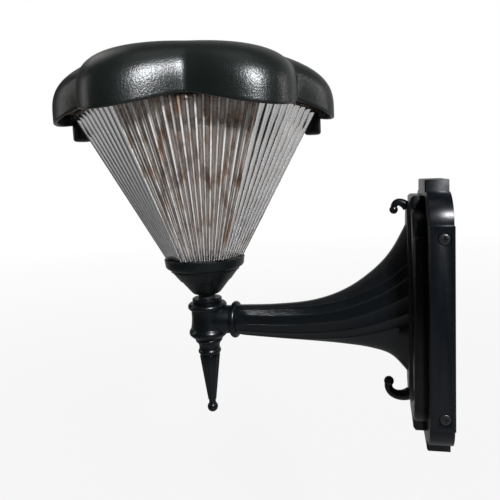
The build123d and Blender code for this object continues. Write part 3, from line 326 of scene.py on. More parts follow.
def clearMaterial(name, look):
    material, tree, shader, where = startMaterial(name)
    shader.inputs["Transmission Weight"].default_value = 1.0
    shader.inputs["IOR"].default_value = look["ior"]
    if "tones" in look:
        tone = ribbedTone(tree, shader, where, look)
    else:
        tone = patches(tree, where, look["tintScale"], 2, shade(look["tint"], look["darker"]), look["tint"])
    tree.links.new(tone, shader.inputs["Base Color"])
    uneven = clearUnevenness
    low, high = look["rough"] * uneven["roughLow"], look["rough"] * uneven["roughHigh"]
    rough = span(tree, noise(tree, where, uneven["roughScale"], 3), 0, 1, low, high)
    tree.links.new(rough, shader.inputs["Roughness"])
    addBump(tree, shader, noise(tree, where, uneven["waveScale"], 1), uneven["wave"], uneven["waveHeight"])
    return material


materials["lensClear"] = clearMaterial("lensClear", lensLook)
materials["panelGlass"] = clearMaterial("panelGlass", panelLook)

cellLook = {
    "lines": 150, "roughScale": 300, "roughLow": 0.22, "roughHigh": 0.34,
    # from dark blue across each strip to a painted sheen of lighter blue, then a silver line
    "tones": ((0.0, (0.010, 0.016, 0.055)), (0.93, (0.014, 0.022, 0.075)), (0.97, (0.45, 0.46, 0.48))),
}


def cellMaterial(look):
    # Dark blue solar strips that grow to a painted sheen of lighter blue, with fine silver lines across them.
    material, tree, shader, where = startMaterial("solarCell")
    lines = addNode(tree, "ShaderNodeTexWave", bands_direction="Y")
    lines.inputs["Scale"].default_value = look["lines"]
    tree.links.new(mapped(tree, where, "Rotation", (0, 0, -headTurn)), lines.inputs["Vector"])
    tree.links.new(colourRamp(tree, lines.outputs["Fac"], look["tones"]), shader.inputs["Base Color"])
    rough = span(tree, noise(tree, where, look["roughScale"]), 0, 1, look["roughLow"], look["roughHigh"])
    tree.links.new(rough, shader.inputs["Roughness"])
    return material


materials["solarCell"] = cellMaterial(cellLook)
print("materials made,", len(materials))


# Node trees for the forms that repeat.
def startTree(name, inputs, result):
    tree = bpy.data.node_groups.new(name, "GeometryNodeTree")
    for label, kind, default in inputs:
        item = tree.interface.new_socket(label, in_out="INPUT", socket_type="NodeSocket" + kind)
        if default is not None:
            item.default_value = default
    tree.interface.new_socket(result, in_out="OUTPUT", socket_type="NodeSocketGeometry")
    return tree, tree.nodes.new("NodeGroupInput")


def endTree(tree, start, geometry):
    # Instances made real and the material set, because the export drops instances.
    real = tree.nodes.new("GeometryNodeRealizeInstances")
    paint = tree.nodes.new("GeometryNodeSetMaterial")
    tree.links.new(geometry, real.inputs[0])
    tree.links.new(real.outputs[0], paint.inputs["Geometry"])
    tree.links.new(start.outputs["Finish"], paint.inputs["Material"])
    tree.links.new(paint.outputs[0], tree.nodes.new("NodeGroupOutput").inputs[0])
    return tree


def stored(tree, name, kind="FLOAT"):
    node = addNode(tree, "GeometryNodeInputNamedAttribute", data_type=kind)
    node.inputs["Name"].default_value = name
    return node.outputs["Attribute"]


def maths(tree, operation, first, second=None):
    node = addNode(tree, "ShaderNodeMath", operation=operation)
    for slot, value in enumerate((first, second)):
        if isinstance(value, (int, float)):
            node.inputs[slot].default_value = value
        elif value is not None:
            tree.links.new(value, node.inputs[slot])
    return node.outputs[0]


def ribTree():
    # Pushes a skin in or out between whole numbers of its ribPhase attribute.
    tree, start = startTree("ribWaves", (
        ("Skin", "Geometry", None), ("Rise", "Float", 0.0), ("Bead", "Float", 0.0), ("Sharpness", "Float", 22.0),
        ("Finish", "Material", None)), "Skin")
    share = maths(tree, "FRACT", stored(tree, "ribPhase"))
    centred = maths(tree, "SUBTRACT", maths(tree, "MULTIPLY", share, 2.0), 1.0)
    square = maths(tree, "MULTIPLY", centred, centred)
    arch = maths(tree, "SUBTRACT", 1.0, square)  # 0 at a whole number, 1 half way
    bead = maths(tree, "POWER", square, start.outputs["Sharpness"])  # narrow, on each whole number
    push = maths(tree, "ADD", maths(tree, "MULTIPLY", arch, start.outputs["Rise"]),
                 maths(tree, "MULTIPLY", bead, start.outputs["Bead"]))
    push = maths(tree, "MULTIPLY", push, stored(tree, "ribWeight"))
    scaled = addNode(tree, "ShaderNodeVectorMath", operation="SCALE")
    tree.links.new(tree.nodes.new("GeometryNodeInputNormal").outputs[0], scaled.inputs[0])
    tree.links.new(push, scaled.inputs["Scale"])
    store = addNode(tree, "GeometryNodeStoreNamedAttribute", data_type="FLOAT", domain="POINT")
    store.inputs["Name"].default_value = "ribShare"
    tree.links.new(arch, store.inputs["Value"])
    move = tree.nodes.new("GeometryNodeSetPosition")
    tree.links.new(start.outputs["Skin"], store.inputs["Geometry"])
    tree.links.new(store.outputs["Geometry"], move.inputs["Geometry"])
    tree.links.new(scaled.outputs[0], move.inputs["Offset"])
    return endTree(tree, start, move.outputs[0])


def screwTree():
    # Copies one screw to each point, with its head along the point's aim attribute.
    tree, start = startTree("screwPattern", (
        ("Points", "Geometry", None), ("Screw", "Object", None), ("Size", "Float", 1.0),
        ("Finish", "Material", None)), "Screws")
    align = addNode(tree, "FunctionNodeAlignRotationToVector", axis="Z")
    tree.links.new(stored(tree, "aim", "FLOAT_VECTOR"), align.inputs["Vector"])
    info = addNode(tree, "GeometryNodeObjectInfo", transform_space="ORIGINAL")
    tree.links.new(start.outputs["Screw"], info.inputs["Object"])
    copies = tree.nodes.new("GeometryNodeInstanceOnPoints")
    tree.links.new(start.outputs["Points"], copies.inputs["Points"])
    tree.links.new(info.outputs["Geometry"], copies.inputs["Instance"])
    tree.links.new(align.outputs["Rotation"], copies.inputs["Rotation"])
    tree.links.new(start.outputs["Size"], copies.inputs["Scale"])
    return endTree(tree, start, copies.outputs[0])


ribWaves, screwPattern = ribTree(), screwTree()


def runTree(piece, tree, values):
    changer = piece.modifiers.new(tree.name, "NODES")
    changer.node_group = tree
    for item in tree.interface.items_tree:
        if item.in_out == "INPUT" and item.name in values:
            changer[item.identifier] = values[item.name]
    return bake(piece)


def storeRibs(piece, phases, weights):
    for name, values in (("ribPhase", phases), ("ribWeight", weights)):
        piece.data.attributes.new(name, "FLOAT", "POINT").data.foreach_set("value", values)


def copyTo(name, spots, one, material, node):
    # One screw or chip at each (point, aim) of spots; the pattern piece itself goes.
    piece = plainPiece(name, [point for point, _ in spots], [])
    aims = [value for _, aim in spots for value in aim]
    piece.data.attributes.new("aim", "FLOAT_VECTOR", "POINT").data.foreach_set("vector", aims)
    runTree(piece, screwPattern, {"Screw": one, "Size": 1.0, "Finish": material})
    bpy.data.objects.remove(one)
    place(piece, material, node)


# Petal cap.
cap = {
    "petals": 6, "petal": 105.6, "crease": 83.0, "topCrease": 0.997, "fullness": 0.7,  # seen from above
    "belly": 148.7, "rise": 42.8, "slack": 4.1, "steepest": 0.995, "rimTip": 143.5, "rimSlope": 0.43,
    "wall": 2.5, "innerSlack": 4.0, "roof": 186.0, "recess": 45.3, "recessDepth": 3.0,
    "around": 240, "rows": 46, "rowPower": 1.35, "innerRows": 24, "innerPower": 0.85,
    "lipHeight": 0.9, "lip": ((0.25, 0.35), (0.9, 0.0), (1.6, 0.0), (2.2, 0.3)),  # inset and lift
    "postCircle": 56.0, "postBore": 1.6, "postBoreDepth": 10, "postTip": 3.2, "postRadius": 3.5,
    "postEdge": 0.4, "postIntoRoof": 1.2, "postSides": 24, "firstPost": 30, "trayTop": 155.5, "trayGap": 0.3,
    "sharp": 40,
}


def petalOutline(tip, valley, angle):
    # Distance from the axis to a wavy outline of round petals with soft creases between them.
    wave = (0.5 + 0.5 * math.cos(cap["petals"] * angle))**cap["fullness"]
    return valley + (tip - valley) * wave


def domeRadius(height, angle, inset=0.0, drop=0.0):
    # Distance from the axis to the dome, or to its inside a little lower.
    share = max(height - cap["belly"], 0) / (cap["rise"] + cap["slack"] - drop)
    share = min(share, cap["steepest"])
    tip = (cap["petal"] - inset) * math.sqrt(1 - share**3)
    base = (cap["crease"] - inset) / (cap["petal"] - inset)
    valley = tip * (base + (cap["topCrease"] - base) * share**2)
    return petalOutline(tip, valley, angle)


def rimAt(angle):
    # Height of the rim, which climbs towards the creases.
    height = cap["rimTip"]
    for _ in range(6):  # closer with each pass
        height = cap["rimTip"] + (cap["petal"] - domeRadius(height, angle)) * cap["rimSlope"]
    return height


def capPost(angle):
    # Hollow screw post from the tray up into the roof.
    base = headPoint(cap["postCircle"], angle, cap["trayTop"])
    roof = cap["roof"] - cap["trayTop"] + cap["postIntoRoof"]
    profile = ((cap["postBore"], cap["postBoreDepth"]), (cap["postBore"], 0), (cap["postTip"], 0),
               (cap["postRadius"], cap["postEdge"]), (cap["postRadius"], roof))
    turns = fullTurn(cap["postSides"])
    rings = [[base + Vector((radius * math.cos(t), radius * math.sin(t), height)) * mm for t in turns]
             for radius, height in profile]
    poles = tuple(base + Vector((0, 0, height)) * mm for height in (cap["postBoreDepth"], roof))
    return ringShell(rings, poles=poles)


def makeCap():
    angles = fullTurn(cap["around"])
    crown = cap["belly"] + cap["rise"]
    tray = crown - cap["recessDepth"]  # floor of the recess for the panel
    rim = [(angle, rimAt(angle)) for angle in angles]
    rings = [[headPoint(cap["recess"], angle, height) for angle in angles] for height in (tray, crown)]
    for row in range(cap["rows"] + 1):  # dome, from the flat top down to the rim
        share = 1 - (row / cap["rows"])**cap["rowPower"]
        ring = []
        for angle, low in rim:
            height = low + cap["lipHeight"] + (crown - low - cap["lipHeight"]) * share
            ring.append(headPoint(domeRadius(height, angle), angle, height))
        rings.append(ring)
    for inset, lift in cap["lip"]:
        rings.append([headPoint(domeRadius(low, angle) - inset, angle, low + lift) for angle, low in rim])
    for row in range(cap["innerRows"] + 1):  # inside, up to the roof
        share = (row / cap["innerRows"])**cap["innerPower"]
        ring = []
        for angle, low in rim:
            height = low + cap["lipHeight"] + (cap["roof"] - low - cap["lipHeight"]) * share
            ring.append(headPoint(domeRadius(height, angle, cap["wall"], cap["innerSlack"]), angle, height))
        rings.append(ring)
    vertices, faces = ringShell(rings, poles=(headPoint(0, 0, tray), headPoint(0, 0, cap["roof"])))
    for post in range(cap["petals"]):
        addSkin(vertices, faces, *capPost(math.radians(360 / cap["petals"] * post + cap["firstPost"])))
    piece = newPiece("petalCap", vertices, faces)
    sharpen(piece, cap["sharp"])
    place(piece, materials["capPaint"], "petal_cap")


makeCap()
print("cap made")

# Ribbed lens, a six-sided cone with a round band at its top and a spigot at its foot.
lens = {
    "base": 39.8, "baseRadius": 30.6, "bandFoot": 150.0, "bandRadius": 92.3, "bandStep": 0.7, "bandEdge": 0.3,
    "top": 152.2, "wall": 2.2, "floor": 2.4, "spigotRadius": 23.0, "spigotDepth": 5.0, "spigotEdge": 0.4,
    "hole": 10.5, "ribs": 9, "rise": 0.6, "innerRise": 0.35, "samples": 8, "rows": 10,
    "earCircle": 91.4, "earRadius": 7.5, "ears": (8.0, 172.0), "sharp": 20,
}


def lensPlaces():
    # Radius, angle and rib number of points on a hexagon with corner radius 1.
    steps = lens["ribs"] * lens["samples"]
    places = []
    for k in range(6 * steps):
        side, along = k // steps, (k % steps) / steps
        a, b = side * math.pi / 3, (side + 1) * math.pi / 3
        x = math.cos(a) + (math.cos(b) - math.cos(a)) * along
        y = math.sin(a) + (math.sin(b) - math.sin(a)) * along
        places.append((math.hypot(x, y), math.atan2(y, x), (k % lens["samples"]) / lens["samples"]))
    return places


def bandReach(radius, angle):
    # The band is round, with an ear beside each clamp knob.
    for ear in lens["ears"]:
        turn = angle - math.radians(ear)
        across = lens["earCircle"] * math.sin(turn)
        if math.cos(turn) > 0 and abs(across) < lens["earRadius"]:
            far = lens["earCircle"] * math.cos(turn) + math.sqrt(lens["earRadius"]**2 - across**2)
            radius = max(radius, far)
    return radius


def makeLens():
    places = lensPlaces()
    base, top, rows = lens["base"], lens["top"], lens["rows"]
    spread = (lens["bandRadius"] - lens["bandStep"] - lens["baseRadius"]) / (lens["bandFoot"] - base)
    flat = math.cos(math.pi / 6)
    inset = lens["wall"] * math.hypot(1, spread * flat) / flat

    def hexagon(height, wall=0.0):
        radius = lens["baseRadius"] + spread * (height - base) - wall
        return [headPoint(radius * share, angle, height) for share, angle, _ in places]

    def circle(radius, height):
        return [headPoint(radius, angle, height) for _, angle, _ in places]

    def band(radius, height):
        return [headPoint(bandReach(radius * share, angle), angle, height) for share, angle, _ in places]

    outer = [hexagon(base + (lens["bandFoot"] - base) * row / rows) for row in range(rows + 1)]
    middle = [band(lens["bandRadius"], lens["bandFoot"]), band(lens["bandRadius"], top - lens["bandEdge"]),
              band(lens["bandRadius"] - lens["bandEdge"], top)]
    inner = [hexagon(top + (base + lens["floor"] - top) * row / rows, inset) for row in range(rows + 1)]
    foot, edge = base - lens["spigotDepth"], lens["spigotEdge"]
    last = [circle(lens["hole"], base + lens["floor"]), circle(lens["hole"], foot),
            circle(lens["spigotRadius"] - edge, foot), circle(lens["spigotRadius"], foot + edge),
            circle(lens["spigotRadius"], base)]
    inside = [0.0] + [lens["innerRise"] / lens["rise"]] * (rows - 1) + [0.0]
    ribbed = [1.0] * len(outer) + [0.0] * len(middle) + inside + [0.0] * len(last)
    vertices, faces = ringShell(outer + middle + inner + last, closed=True)
    piece = plainPiece("ribbedLens", vertices, [tuple(reversed(face)) for face in faces])
    phases = [phase for _, _, phase in places]
    storeRibs(piece, phases * len(ribbed), [weight for weight in ribbed for _ in places])
    runTree(piece, ribWaves, {"Rise": lens["rise"] * mm, "Finish": materials["lensClear"]})
    sharpen(piece, lens["sharp"])
    place(piece, materials["lensClear"], "ribbed_lens")


makeLens()
print("lens made")

# Fluted arm with its flange and both scrolls, one casting.
arm = {
    "axis": -10.75, "start": 155.8, "end": 25.2, "samples": 16, "crown": 14, "rows": 90,
    "flute": -0.42, "bead": 0.42, "fadeIn": 0.04,  # the flutes fade in beside the collar
    "ridges": (30, 60, 90, 120, 150), "fanMiddle": 0.12, "fanShare": 0.44,
    # share of the way to the wall, reach above the axis, below it, half width
    "stations": ((0.0, 11.6, 11.5, 11.5), (0.23, 12.7, 13.7, 11.9), (0.46, 16.4, 15.3, 12.9),
                 (0.645, 25.2, 17.1, 14.4), (0.8, 39.4, 20.1, 16.2), (0.904, 54.4, 25.3, 17.8),
                 (1.0, 77.3, 39.2, 19.6)),
    "flangeFoot": 24.5, "flangeHalf": 21.0, "flangeTop": 79.0, "flangeBottom": -70.0, "flangeSides": 96,
    # inset and distance from the foot, round the flange's front edge
    "flangeEdge": ((0, 0), (0, 0.4), (0.15, 0.55), (1.65, 2.05), (1.8, 2.2)),
    # wall distance and height of four guide points from root to ball, then radius of root, bar and ball
    "scrolls": (((25.6, 74.6), (29.5, 79.6), (35.6, 80.2), (35.4, 73.0), 3.6, 2.3, 3.1),
                ((25.6, -65.2), (33.0, -69.6), (43.6, -66.0), (40.8, -56.4), 4.6, 2.9, 3.7)),
    "scrollSteps": 24, "scrollSides": 20, "ballSteps": 15, "ballFrom": 4, "ballTip": 0.02, "sharp": 50,
}


def wallPoint(wall, side, height):
    return Vector((-wall, side, height)) * mm


def between(table, share):
    # Smooth value of each column at a share of the way along.
    last = len(table) - 1
    index = max(i for i in range(last) if table[i][0] <= share)
    first, second = table[index], table[index + 1]
    width = second[0] - first[0]
    t = (share - first[0]) / width

    def slope(i, column):
        low, high = max(i - 1, 0), min(i + 1, last)
        return (table[high][column] - table[low][column]) / (table[high][0] - table[low][0])

    values = []
    for column in (1, 2, 3):
        a, b = slope(index, column) * width, slope(index + 1, column) * width
        values.append((2 * t**3 - 3 * t**2 + 1) * first[column] + (t**3 - 2 * t**2 + t) * a
                      + (3 * t**2 - 2 * t**3) * second[column] + (t**3 - t**2) * b)
    return values


def armSection(share):
    # Points round the arm, with the flute number of each and 1 where it is fluted.
    above, below, half = between(arm["stations"], share)
    spread = share * share
    tall = (above + below) / 2
    middle = arm["axis"] + (above - below) / 2
    turns = []
    for ridge in arm["ridges"]:
        level = math.cos(math.radians(ridge))
        turns.append(math.acos((1 - spread) * level + spread * (arm["fanMiddle"] + arm["fanShare"] * level)))
    top, keel = turns[0], math.pi - turns[-1]
    samples, crown = arm["samples"], arm["crown"]
    rows = [(-top + 2 * top * k / crown, 0.0, 0.0 if k else 1.0) for k in range(crown)]  # over the top
    for flute, (upper, lower) in enumerate(zip(turns, turns[1:])):
        rows += [(upper + (lower - upper) * k / samples, flute + k / samples, 1.0) for k in range(samples)]
    rows += [(turns[-1] + 2 * keel * k / crown, 0.0, 0.0 if k else 1.0) for k in range(crown)]  # under the keel
    for flute, (lower, upper) in enumerate(zip(turns[::-1], turns[-2::-1])):
        rows += [(2 * math.pi - (lower + (upper - lower) * k / samples), flute + k / samples, 1.0)
                 for k in range(samples)]
    points = [(half * math.sin(angle), middle + tall * math.cos(angle)) for angle, _, _ in rows]
    return points, [phase for _, phase, _ in rows], [weight for _, _, weight in rows]


def tube(path, radii):
    # Round bar along points that lie in the plane y = 0, closed at both ends.
    rings = []
    for index, point in enumerate(path):
        ahead = path[min(index + 1, len(path) - 1)] - path[max(index - 1, 0)]
        across = Vector((-ahead.z, 0, ahead.x)).normalized()
        radius = radii[index]
        rings.append([(point + across * radius * math.cos(t) + Vector((0, radius * math.sin(t), 0))) * mm
                      for t in fullTurn(arm["scrollSides"])])
    return ringShell(rings, poles=(path[0] * mm, path[-1] * mm))


def scroll(first, second, third, last, root, bar, ball):
    # Tapered bar that leaves the wall, curls back and ends in a ball.
    points = [Vector((-x, 0, z)) for x, z in (first, second, third, last)]
    path, radii = [], []
    for k in range(arm["scrollSteps"] + 1):
        t = k / arm["scrollSteps"]
        shares = ((1 - t)**3, 3 * t * (1 - t)**2, 3 * t * t * (1 - t), t**3)
        path.append(sum((point * share for point, share in zip(points, shares)), Vector()))
        radii.append(bar + (root - bar) * (1 - t)**2)
    back = (path[-1] - path[-2]).normalized()
    centre = path[-1]
    for k in range(arm["ballFrom"], arm["ballSteps"] + 1):
        angle = math.pi * k / arm["ballSteps"]
        path.append(centre - back * ball * math.cos(angle))
        radii.append(max(ball * math.sin(angle), arm["ballTip"]))
    return tube(path, radii)


def flangePlate():
    # Long plate with round ends and a rounded front edge.
    middle = (arm["flangeTop"] + arm["flangeBottom"]) / 2
    reach = (arm["flangeTop"] - arm["flangeBottom"]) / 2 - arm["flangeHalf"]
    foot = arm["flangeFoot"]
    rings = []
    for inset, wall in arm["flangeEdge"]:
        radius = arm["flangeHalf"] - inset
        ring = []
        for k in range(arm["flangeSides"]):
            turn = 2 * math.pi * (k + 0.5) / arm["flangeSides"]
            side = reach if math.cos(turn) > 0 else -reach
            ring.append(wallPoint(foot + wall, radius * math.sin(turn), middle + side + radius * math.cos(turn)))
        rings.append(ring)
    return ringShell(rings, poles=(wallPoint(foot, 0, middle), wallPoint(foot + wall, 0, middle)))


def makeArm():
    rings, phases, weights = [], [], []
    for row in range(arm["rows"] + 1):
        share = row / arm["rows"]
        points, phase, weight = armSection(share)
        wall = arm["start"] + (arm["end"] - arm["start"]) * share
        ramp = min(1.0, share / arm["fadeIn"])
        rings.append([wallPoint(wall, side, height) for side, height in points])
        phases += phase
        weights += [value * ramp for value in weight]
    poles = tuple(wallPoint(wall, 0, arm["axis"]) for wall in (arm["start"], arm["end"]))
    vertices, faces = ringShell(rings, poles=poles)
    for skin in [flangePlate()] + [scroll(*guide) for guide in arm["scrolls"]]:
        addSkin(vertices, faces, *skin)
    plain = [0.0] * (len(vertices) - len(phases))
    piece = plainPiece("flutedArm", vertices, faces)
    editMesh(piece.data)
    storeRibs(piece, phases + plain, weights + plain)
    sizes = {"Rise": arm["flute"] * mm, "Bead": arm["bead"] * mm}
    runTree(piece, ribWaves, {**sizes, "Finish": materials["armPaint"]})
    sharpen(piece, arm["sharp"])
    place(piece, materials["armPaint"], "fluted_arm")


makeArm()
print("arm made")

# Screws, each group copied from one screw; sizes in mm, bright steel where no finish is given.
screwKinds = {
    "tray": {"node": "tray_screws", "head": 3.2, "rise": 1.8, "shank": 1.55, "length": 10.0},
    "board": {"node": "board_screws", "head": 2.4, "rise": 1.4, "shank": 1.2, "length": 3.6},
    "control": {"node": "control_screws", "head": 2.0, "rise": 1.4, "shank": 1.0, "length": 4.5},
    "cup": {"node": "cup_screws", "head": 2.8, "rise": 1.6, "shank": 1.5, "length": 12.0},
    "arm": {"node": "arm_screws", "head": 3.8, "rise": 2.6, "shank": 2.0, "length": 11.7},
    "side": {"node": "side_screws", "head": 3.7, "rise": 1.8, "shank": 2.0, "length": 9.0,
             "finish": "blackSteel"},
}
screwForm = {
    "sides": 28, "pitch": 0.7, "fewestThreads": 4, "threadRoot": 0.88,
    "seat": 0.985, "edge": 0.14, "crown": 0.56, "crownRise": 0.5, "crownSteps": 6,  # shares of the head's size
    "crossLength": 0.55, "crossWidth": 0.13, "crossDepth": 0.5, "crossFloor": 0.8, "sharp": 38,
}


def screwProfile(head, rise, shank, length):
    # Radius and height from the shank's tip to the head's top, with the head's seat at 0.
    form = screwForm
    threads = max(form["fewestThreads"], int(length / form["pitch"]))
    rows = []
    for k in reversed(range(2 * threads + 1)):
        rows.append((shank * (form["threadRoot"] if k % 2 else 1.0), -length * k / (2 * threads)))
    rows += [(head * form["seat"], 0.0), (head, rise * form["edge"])]
    for k in range(1, form["crownSteps"] + 1):
        turn = math.pi / 2 * k / form["crownSteps"]
        radius = head * (form["crown"] + (1 - form["crown"]) * math.cos(turn))
        rows.append((radius, rise * (form["crownRise"] + (1 - form["crownRise"]) * math.sin(turn))))
    return rows


def crossCutter(head, rise):
    # Tapered cross that is cut out of the head.
    long, narrow = head * screwForm["crossLength"], head * screwForm["crossWidth"]
    quarter = ((long, narrow), (narrow, narrow), (narrow, long))
    turns = ((1, 0), (0, 1), (-1, 0), (0, -1))
    corners = [(x * c - y * s, x * s + y * c) for c, s in turns for x, y in quarter]
    floor, small = rise - rise * screwForm["crossDepth"], screwForm["crossFloor"]
    low = [Vector((x * small, y * small, floor)) * mm for x, y in corners]
    high = [Vector((x, y, rise + 0.5)) * mm for x, y in corners]
    skin = [tuple(range(12)), tuple(range(23, 11, -1))]
    skin += [(k, (k + 1) % 12, 12 + (k + 1) % 12, 12 + k) for k in range(12)]
    return newPiece("recess", low + high, skin, smooth=False)


def screwMesh(head, rise, shank, length):
    # Pan head with a cross recess on a threaded shank.
    turns = fullTurn(screwForm["sides"])
    rings = [[Vector((radius * math.cos(t), radius * math.sin(t), height)) * mm for t in turns]
             for radius, height in screwProfile(head, rise, shank, length)]
    poles = (Vector((0, 0, -length)) * mm, Vector((0, 0, rise)) * mm)
    piece, cutter = newPiece("screw", *ringShell(rings, poles=poles)), crossCutter(head, rise)
    cut = piece.modifiers.new("recess", "BOOLEAN")
    cut.operation = "DIFFERENCE"
    cut.object = cutter
    cut.solver = "EXACT"
    bake(piece)
    bpy.data.objects.remove(cutter)
    sharpen(piece, screwForm["sharp"])
    return piece


def ringPlaces(radius, count, start, height):
    return [headPoint(radius, math.radians(start + 360 / count * k), height) for k in range(count)]


def boardPlace(x, y, height):
    return headPoint(math.hypot(x, y), math.atan2(y, x), height)


down, up, back = Vector((0, 0, -1)), Vector((0, 0, 1)), Vector((1, 0, 0))
screwPlaces = {
    # rings by radius, number, first angle and height; all others by mm
    "tray": [(point, down) for point in ringPlaces(cap["postCircle"], cap["petals"], cap["firstPost"], 153.2)],
    "board": [(point, down) for point in ringPlaces(41.0, 3, 90, 151.6)],
    "control": [(boardPlace(x, y, 162.1), up) for x in (-18, 18) for y in (17, 39)],
    "cup": [(point, up) for point in ringPlaces(14.2, 3, 90, 42.2)],
    "arm": [(wallPoint(12.8, side * 11.0, height), back) for side in (-1, 1) for height in (-57.5, 66.0)],
    "side": [(wallPoint(6.5, side * 53.8, height), Vector((0, side, 0)))
             for side in (-1, 1) for height in (-58, 58)],
}
for kindName, kind in screwKinds.items():
    one = screwMesh(kind["head"], kind["rise"], kind["shank"], kind["length"])
    steel = materials[kind.get("finish", "brightSteel")]
    copyTo(kindName + "Screws", screwPlaces[kindName], one, steel, kind["node"])
print("screws made")

# Light chips, small moulded blocks with a shallow dished face.
chips = {
    "rings": ((34.0, 24), (21.0, 12)), "under": 151.6, "length": 3.5, "width": 2.8, "height": 0.7,
    # width and height of each step as shares of the chip's own, then the height of the dish's middle
    "profile": ((1.0, 0.0), (1.0, 0.8), (0.9, 1.0), (0.72, 1.0), (0.64, 0.78)), "dish": 0.82,
}


def makeChips():
    half, side, deep = chips["length"] / 2, chips["width"] / 2, chips["height"]
    corners = ((1, 1), (-1, 1), (-1, -1), (1, -1))
    rings = [[Vector((x * half * grow, y * side * grow, deep * height)) * mm for x, y in corners]
             for grow, height in chips["profile"]]
    poles = (Vector((0, 0, 0)), Vector((0, 0, deep * chips["dish"])) * mm)
    chip = newPiece("chip", *ringShell(rings, poles=poles), smooth=False)
    spots = [(point, down) for radius, count in chips["rings"]
             for point in ringPlaces(radius, count, 0, chips["under"])]
    copyTo("lightChips", spots, chip, materials["phosphor"], "light_chips")


makeChips()

# Turned and cast pieces that keep the CAD's form, with rounded edges.
rounding = {"merge": 3e-6, "flatAngle": 0.8, "segments": 2, "overAngle": 30, "sharpAngle": 32}
roundedPieces = {
    # node: (piece, edge rounding in mm, finish)
    "lens_cup": ("lensCup", 0.3, "cupPaint"),
    "tee_body": ("teeBody", 0.3, "armPaint"),
    "finial": ("turnedFinial", 0.2, "armPaint"),
    "arm_collar": ("armCollar", 0.3, "armPaint"),
    "clamp_knob_right": ("clampKnobRight", 0.15, "knobPlastic"),
    "clamp_knob_left": ("clampKnobLeft", 0.15, "knobPlastic"),
    "back_plate": ("backPlate", 0.4, "platePaint"),
    "front_plate": ("frontPlate", 0.4, "platePaint"),
    "lamp_tray": ("lampTray", 0.25, "trayPaintAndReflection"),
    "power_button": ("powerButton", 0.2, "redPlastic"),
}


def smoothCopy(name, node, width):
    # Merged copy of a CAD node with rounded edges.
    mesh = frame["nodes"][node].data.copy()
    editMesh(mesh, rounding["merge"], rounding["flatAngle"], outwards=False)
    piece = linkPiece(name, mesh)
    edge = piece.modifiers.new("roundEdges", "BEVEL")
    edge.width = width * mm
    edge.segments = rounding["segments"]
    edge.limit_method = "ANGLE"
    edge.angle_limit = math.radians(rounding["overAngle"])
    edge.use_clamp_overlap = True
    bake(piece)
    sharpen(piece, rounding["sharpAngle"])
    return piece


def trimToCap(piece):
    # The tray's edge follows the inside of the cap.
    for vertex in piece.data.vertices:
        x, y, height = vertex.co.x / mm - lampX, vertex.co.y / mm, vertex.co.z / mm
        reach, angle = math.hypot(x, y), math.atan2(y, x) - headTurn
        room = domeRadius(height, angle, cap["wall"] + cap["trayGap"])
        if reach > room:
            vertex.co = headPoint(room, angle, height)


for node, (name, width, look) in roundedPieces.items():
    piece = smoothCopy(name, node, width)
    if node == "lamp_tray":
        trimToCap(piece)
    place(piece, materials[look], node)
print("rounded pieces made")

# CAD nodes that keep their own mesh.
nodeFinish = {
    "panel_gasket": "sealRubber", "panel_backing": "backingBoard", "solar_cells": "solarCell",
    "panel_glass": "panelGlass", "lens_gasket": "sealRubber", "light_board": "whiteBoard",
    "button_bezel": "blackPlastic", "switch_body": "blackPlastic", "battery_holder": "blackPlastic",
    "battery_cell": "cellSleeve", "battery_contacts": "nickel", "battery_strap": "blackPlastic",
    "control_board": "greenBoard", "control_parts": "blackPlastic", "knob_stud_right": "brightSteel",
    "knob_stud_left": "brightSteel", "stud_inserts": "brass", "cup_seal": "sealRubber",
    "through_rod": "brightSteel", "rod_washer": "brightSteel", "rod_nut": "brightSteel",
    "neck_bush": "bushNylon", "arm_set_screw": "blackSteel", "wall_strap": "zincPlate",
}
for node, look in nodeFinish.items():
    for slot in frame["nodes"][node].material_slots:
        slot.material = materials[look]
print("carried-over nodes finished,", len(nodeFinish))

# Camera at the photograph's angle; focal length, middle and frame in pixels.
view = {
    "place": (-0.0452, -0.3753, 0.1010), "yaw": 0.188, "pitch": -0.099, "roll": -0.037,
    "focal": 505.5, "middle": (284.5, 225.2), "frame": 500, "sensor": 36, "clip": (0.01, 60),
}


def makeCamera():
    yaw, pitch, roll = view["yaw"], view["pitch"], view["roll"]
    ahead = Vector((-math.sin(yaw) * math.cos(pitch), math.cos(yaw) * math.cos(pitch), math.sin(pitch)))
    level = Vector((math.cos(yaw), math.sin(yaw), 0))
    above = level.cross(ahead)
    right = math.cos(roll) * level + math.sin(roll) * above
    top = -math.sin(roll) * level + math.cos(roll) * above
    data = bpy.data.cameras.new("photoCamera")
    data.sensor_width = view["sensor"]
    data.lens = view["sensor"] * view["focal"] / view["frame"]
    data.shift_x = -(view["middle"][0] - view["frame"] / 2) / view["frame"]
    data.shift_y = (view["middle"][1] - view["frame"] / 2) / view["frame"]
    data.clip_start, data.clip_end = view["clip"]
    camera = bpy.data.objects.new("photoCamera", data)
    turn = Matrix((right, top, -ahead)).transposed().to_4x4()
    camera.matrix_world = Matrix.Translation(view["place"]) @ turn
    bpy.context.scene.collection.objects.link(camera)
    bpy.context.scene.camera = camera


makeCamera()

